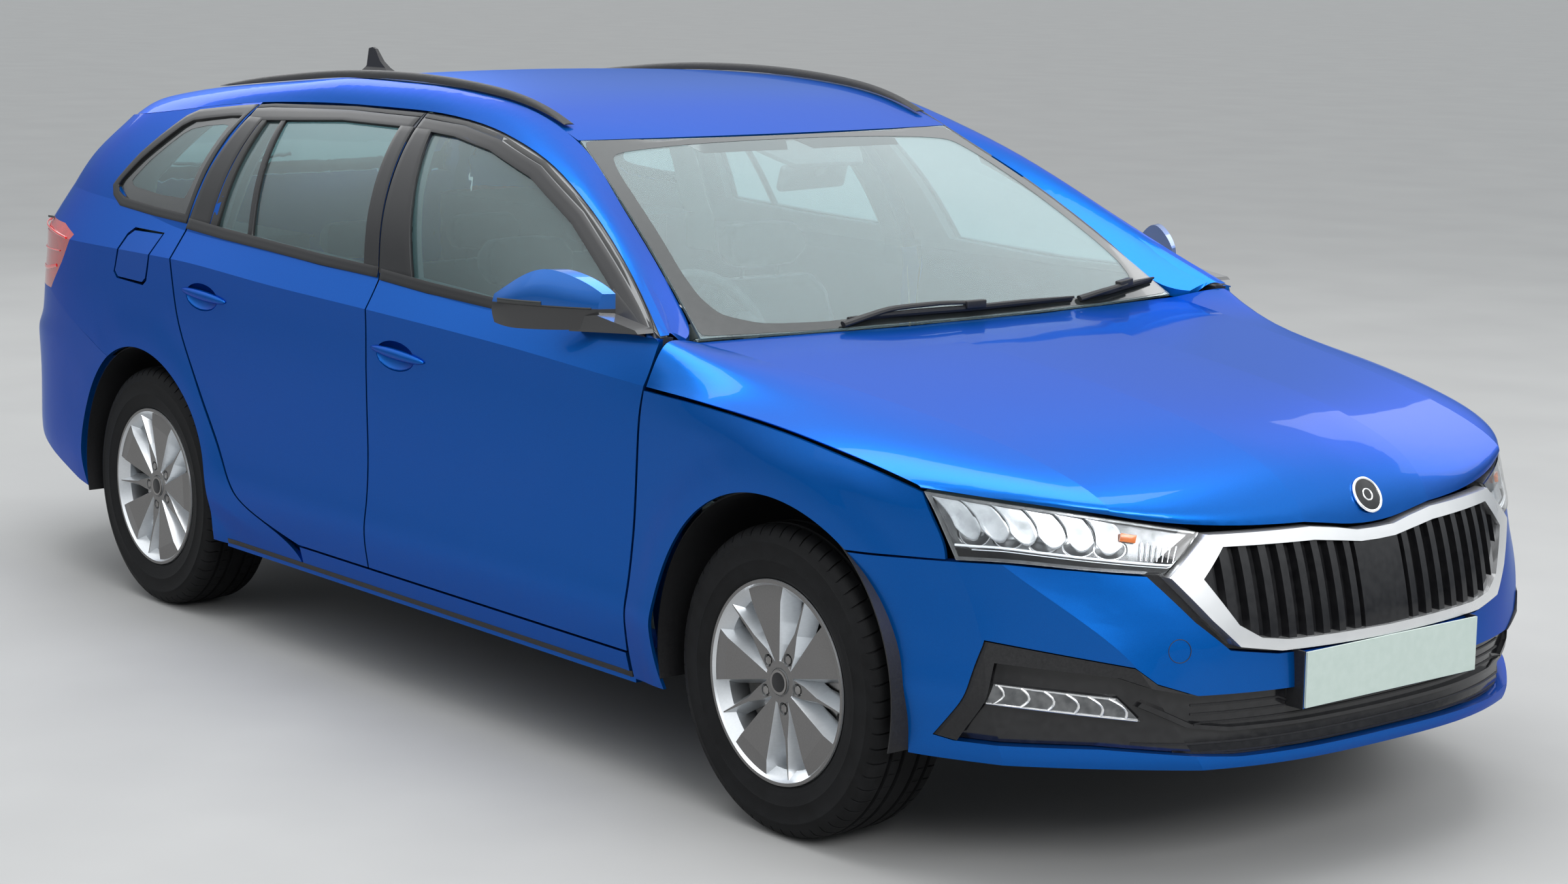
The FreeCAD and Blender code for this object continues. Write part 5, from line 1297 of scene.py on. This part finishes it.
# side bolster's share of its full height at a share of the half width; the very edge is low
def bolsterRise(w):
    return abs(w) ** 3 * (1 if abs(w) < 0.99 else 0.2)


# section across the car: flat below, with side bolsters above; the last rows taper to the ends
def cushionSections(xFront, xRear, yMiddle, half, zLow, zTop, bolster):
    sections = []
    for k in range(9):
        share = k / 8
        x = xRear + (xFront - xRear) * share
        ends = 1 - abs(2 * share - 1) ** 6
        ring = []
        for c in range(13):
            w = -1 + c / 6
            top = zTop - 0.03 * (1 - ends) + bolster * bolsterRise(w)
            ring.append(Vector((x, yMiddle + half * w * (0.96 + 0.04 * ends), top)))
        ring.extend(Vector((x, yMiddle + half * w, zLow)) for w in (0.97, 0, -0.97))
        sections.append(ring)
    return sections


# section at a height: flat behind, bolsters in front; each height row is (z, front x, rear x, half width)
def backSections(rows, yMiddle, bolster):
    sections = []
    for z, xFront, xRear, half in rows:
        shares = [-1 + c / 6 for c in range(13)]
        ring = [Vector((xFront + bolster * bolsterRise(w), yMiddle + half * w, z)) for w in shares]
        ring.extend(Vector((xRear, yMiddle + half * w, z)) for w in (0.92, 0, -0.92))
        sections.append(ring)
    return sections


frontBackRows = [(0.47, -0.078, -0.150, 0.235), (0.56, -0.080, -0.160, 0.24), (0.68, -0.092, -0.172, 0.245),
                 (0.80, -0.104, -0.184, 0.24), (0.89, -0.114, -0.190, 0.215), (0.935, -0.122, -0.188, 0.17)]
headRestRows = [(0.955, -0.118, -0.178, 0.10), (0.99, -0.108, -0.185, 0.125), (1.03, -0.108, -0.187, 0.128),
                (1.068, -0.122, -0.182, 0.10)]
cushion = padPiece(cushionSections(0.415, -0.045, -0.38, 0.245, 0.262, 0.44, 0.035), 0.006, 0.012)
backrest = padPiece(backSections(frontBackRows, -0.38, 0.022), 0.006, 0.012)
headRest = padPiece(backSections(headRestRows, -0.38, 0.0), 0.005, 0.007)
posts = [barPiece([(-0.15, y, 0.90), (-0.148, y, 1.0)], 0.012, 0.012, (0, 1, 0)) for y in (-0.44, -0.32)]
frontSeat = joinPieces([cushion, backrest, headRest] + posts)
frontTwin = mirroredCopy(frontSeat)
for piece, name in ((frontSeat, "frontSeatRight"), (frontTwin, "frontSeatLeft")):
    finishPiece(piece, name, seatCloth, smooth=50)
    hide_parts("front_seats")
rearBackRows = [(0.56, -0.868, -0.94, 0.45), (0.66, -0.868, -0.942, 0.60), (0.78, -0.874, -0.944, 0.61),
                (0.88, -0.882, -0.946, 0.60), (0.935, -0.892, -0.944, 0.56)]
rearRestRows = [(0.955, -0.892, -0.942, 0.09), (0.99, -0.882, -0.946, 0.11), (1.02, -0.882, -0.946, 0.11),
                (1.048, -0.896, -0.942, 0.09)]
bench = padPiece(cushionSections(-0.435, -0.84, 0.0, 0.615, 0.262, 0.50, 0.012), 0.008, 0.012)
benchBack = padPiece(backSections(rearBackRows, 0.0, 0.008), 0.008, 0.010)
rearRest = padPiece(backSections(rearRestRows, 0.0, 0.0), 0.005, 0.006)
rests = [rearRest] + [copyPiece(rearRest, side) for side in (-0.40, 0.40)]
restPosts = [barPiece([(-0.918, y, 0.91), (-0.918, y, 0.98)], 0.010, 0.010, (0, 1, 0))
             for y in (-0.45, -0.35, -0.05, 0.05, 0.35, 0.45)]
rearSeat = joinPieces([bench, benchBack] + rests + restPosts)
finishPiece(rearSeat, "rearSeat", seatCloth, smooth=50)
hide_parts("rear_seats")
print("seats")

# floor
clearSelection()
bpy.ops.mesh.primitive_plane_add(size=400, location=(0, 0, 0))
floor = bpy.context.object
floor.name = "floor"
paleFloor = surfaceMaterial("paleFloor", (0.25, 0.25, 0.248), (0.275, 0.275, 0.272), 1.5, (0.7, 0.85))
floor.data.materials.append(paleFloor)
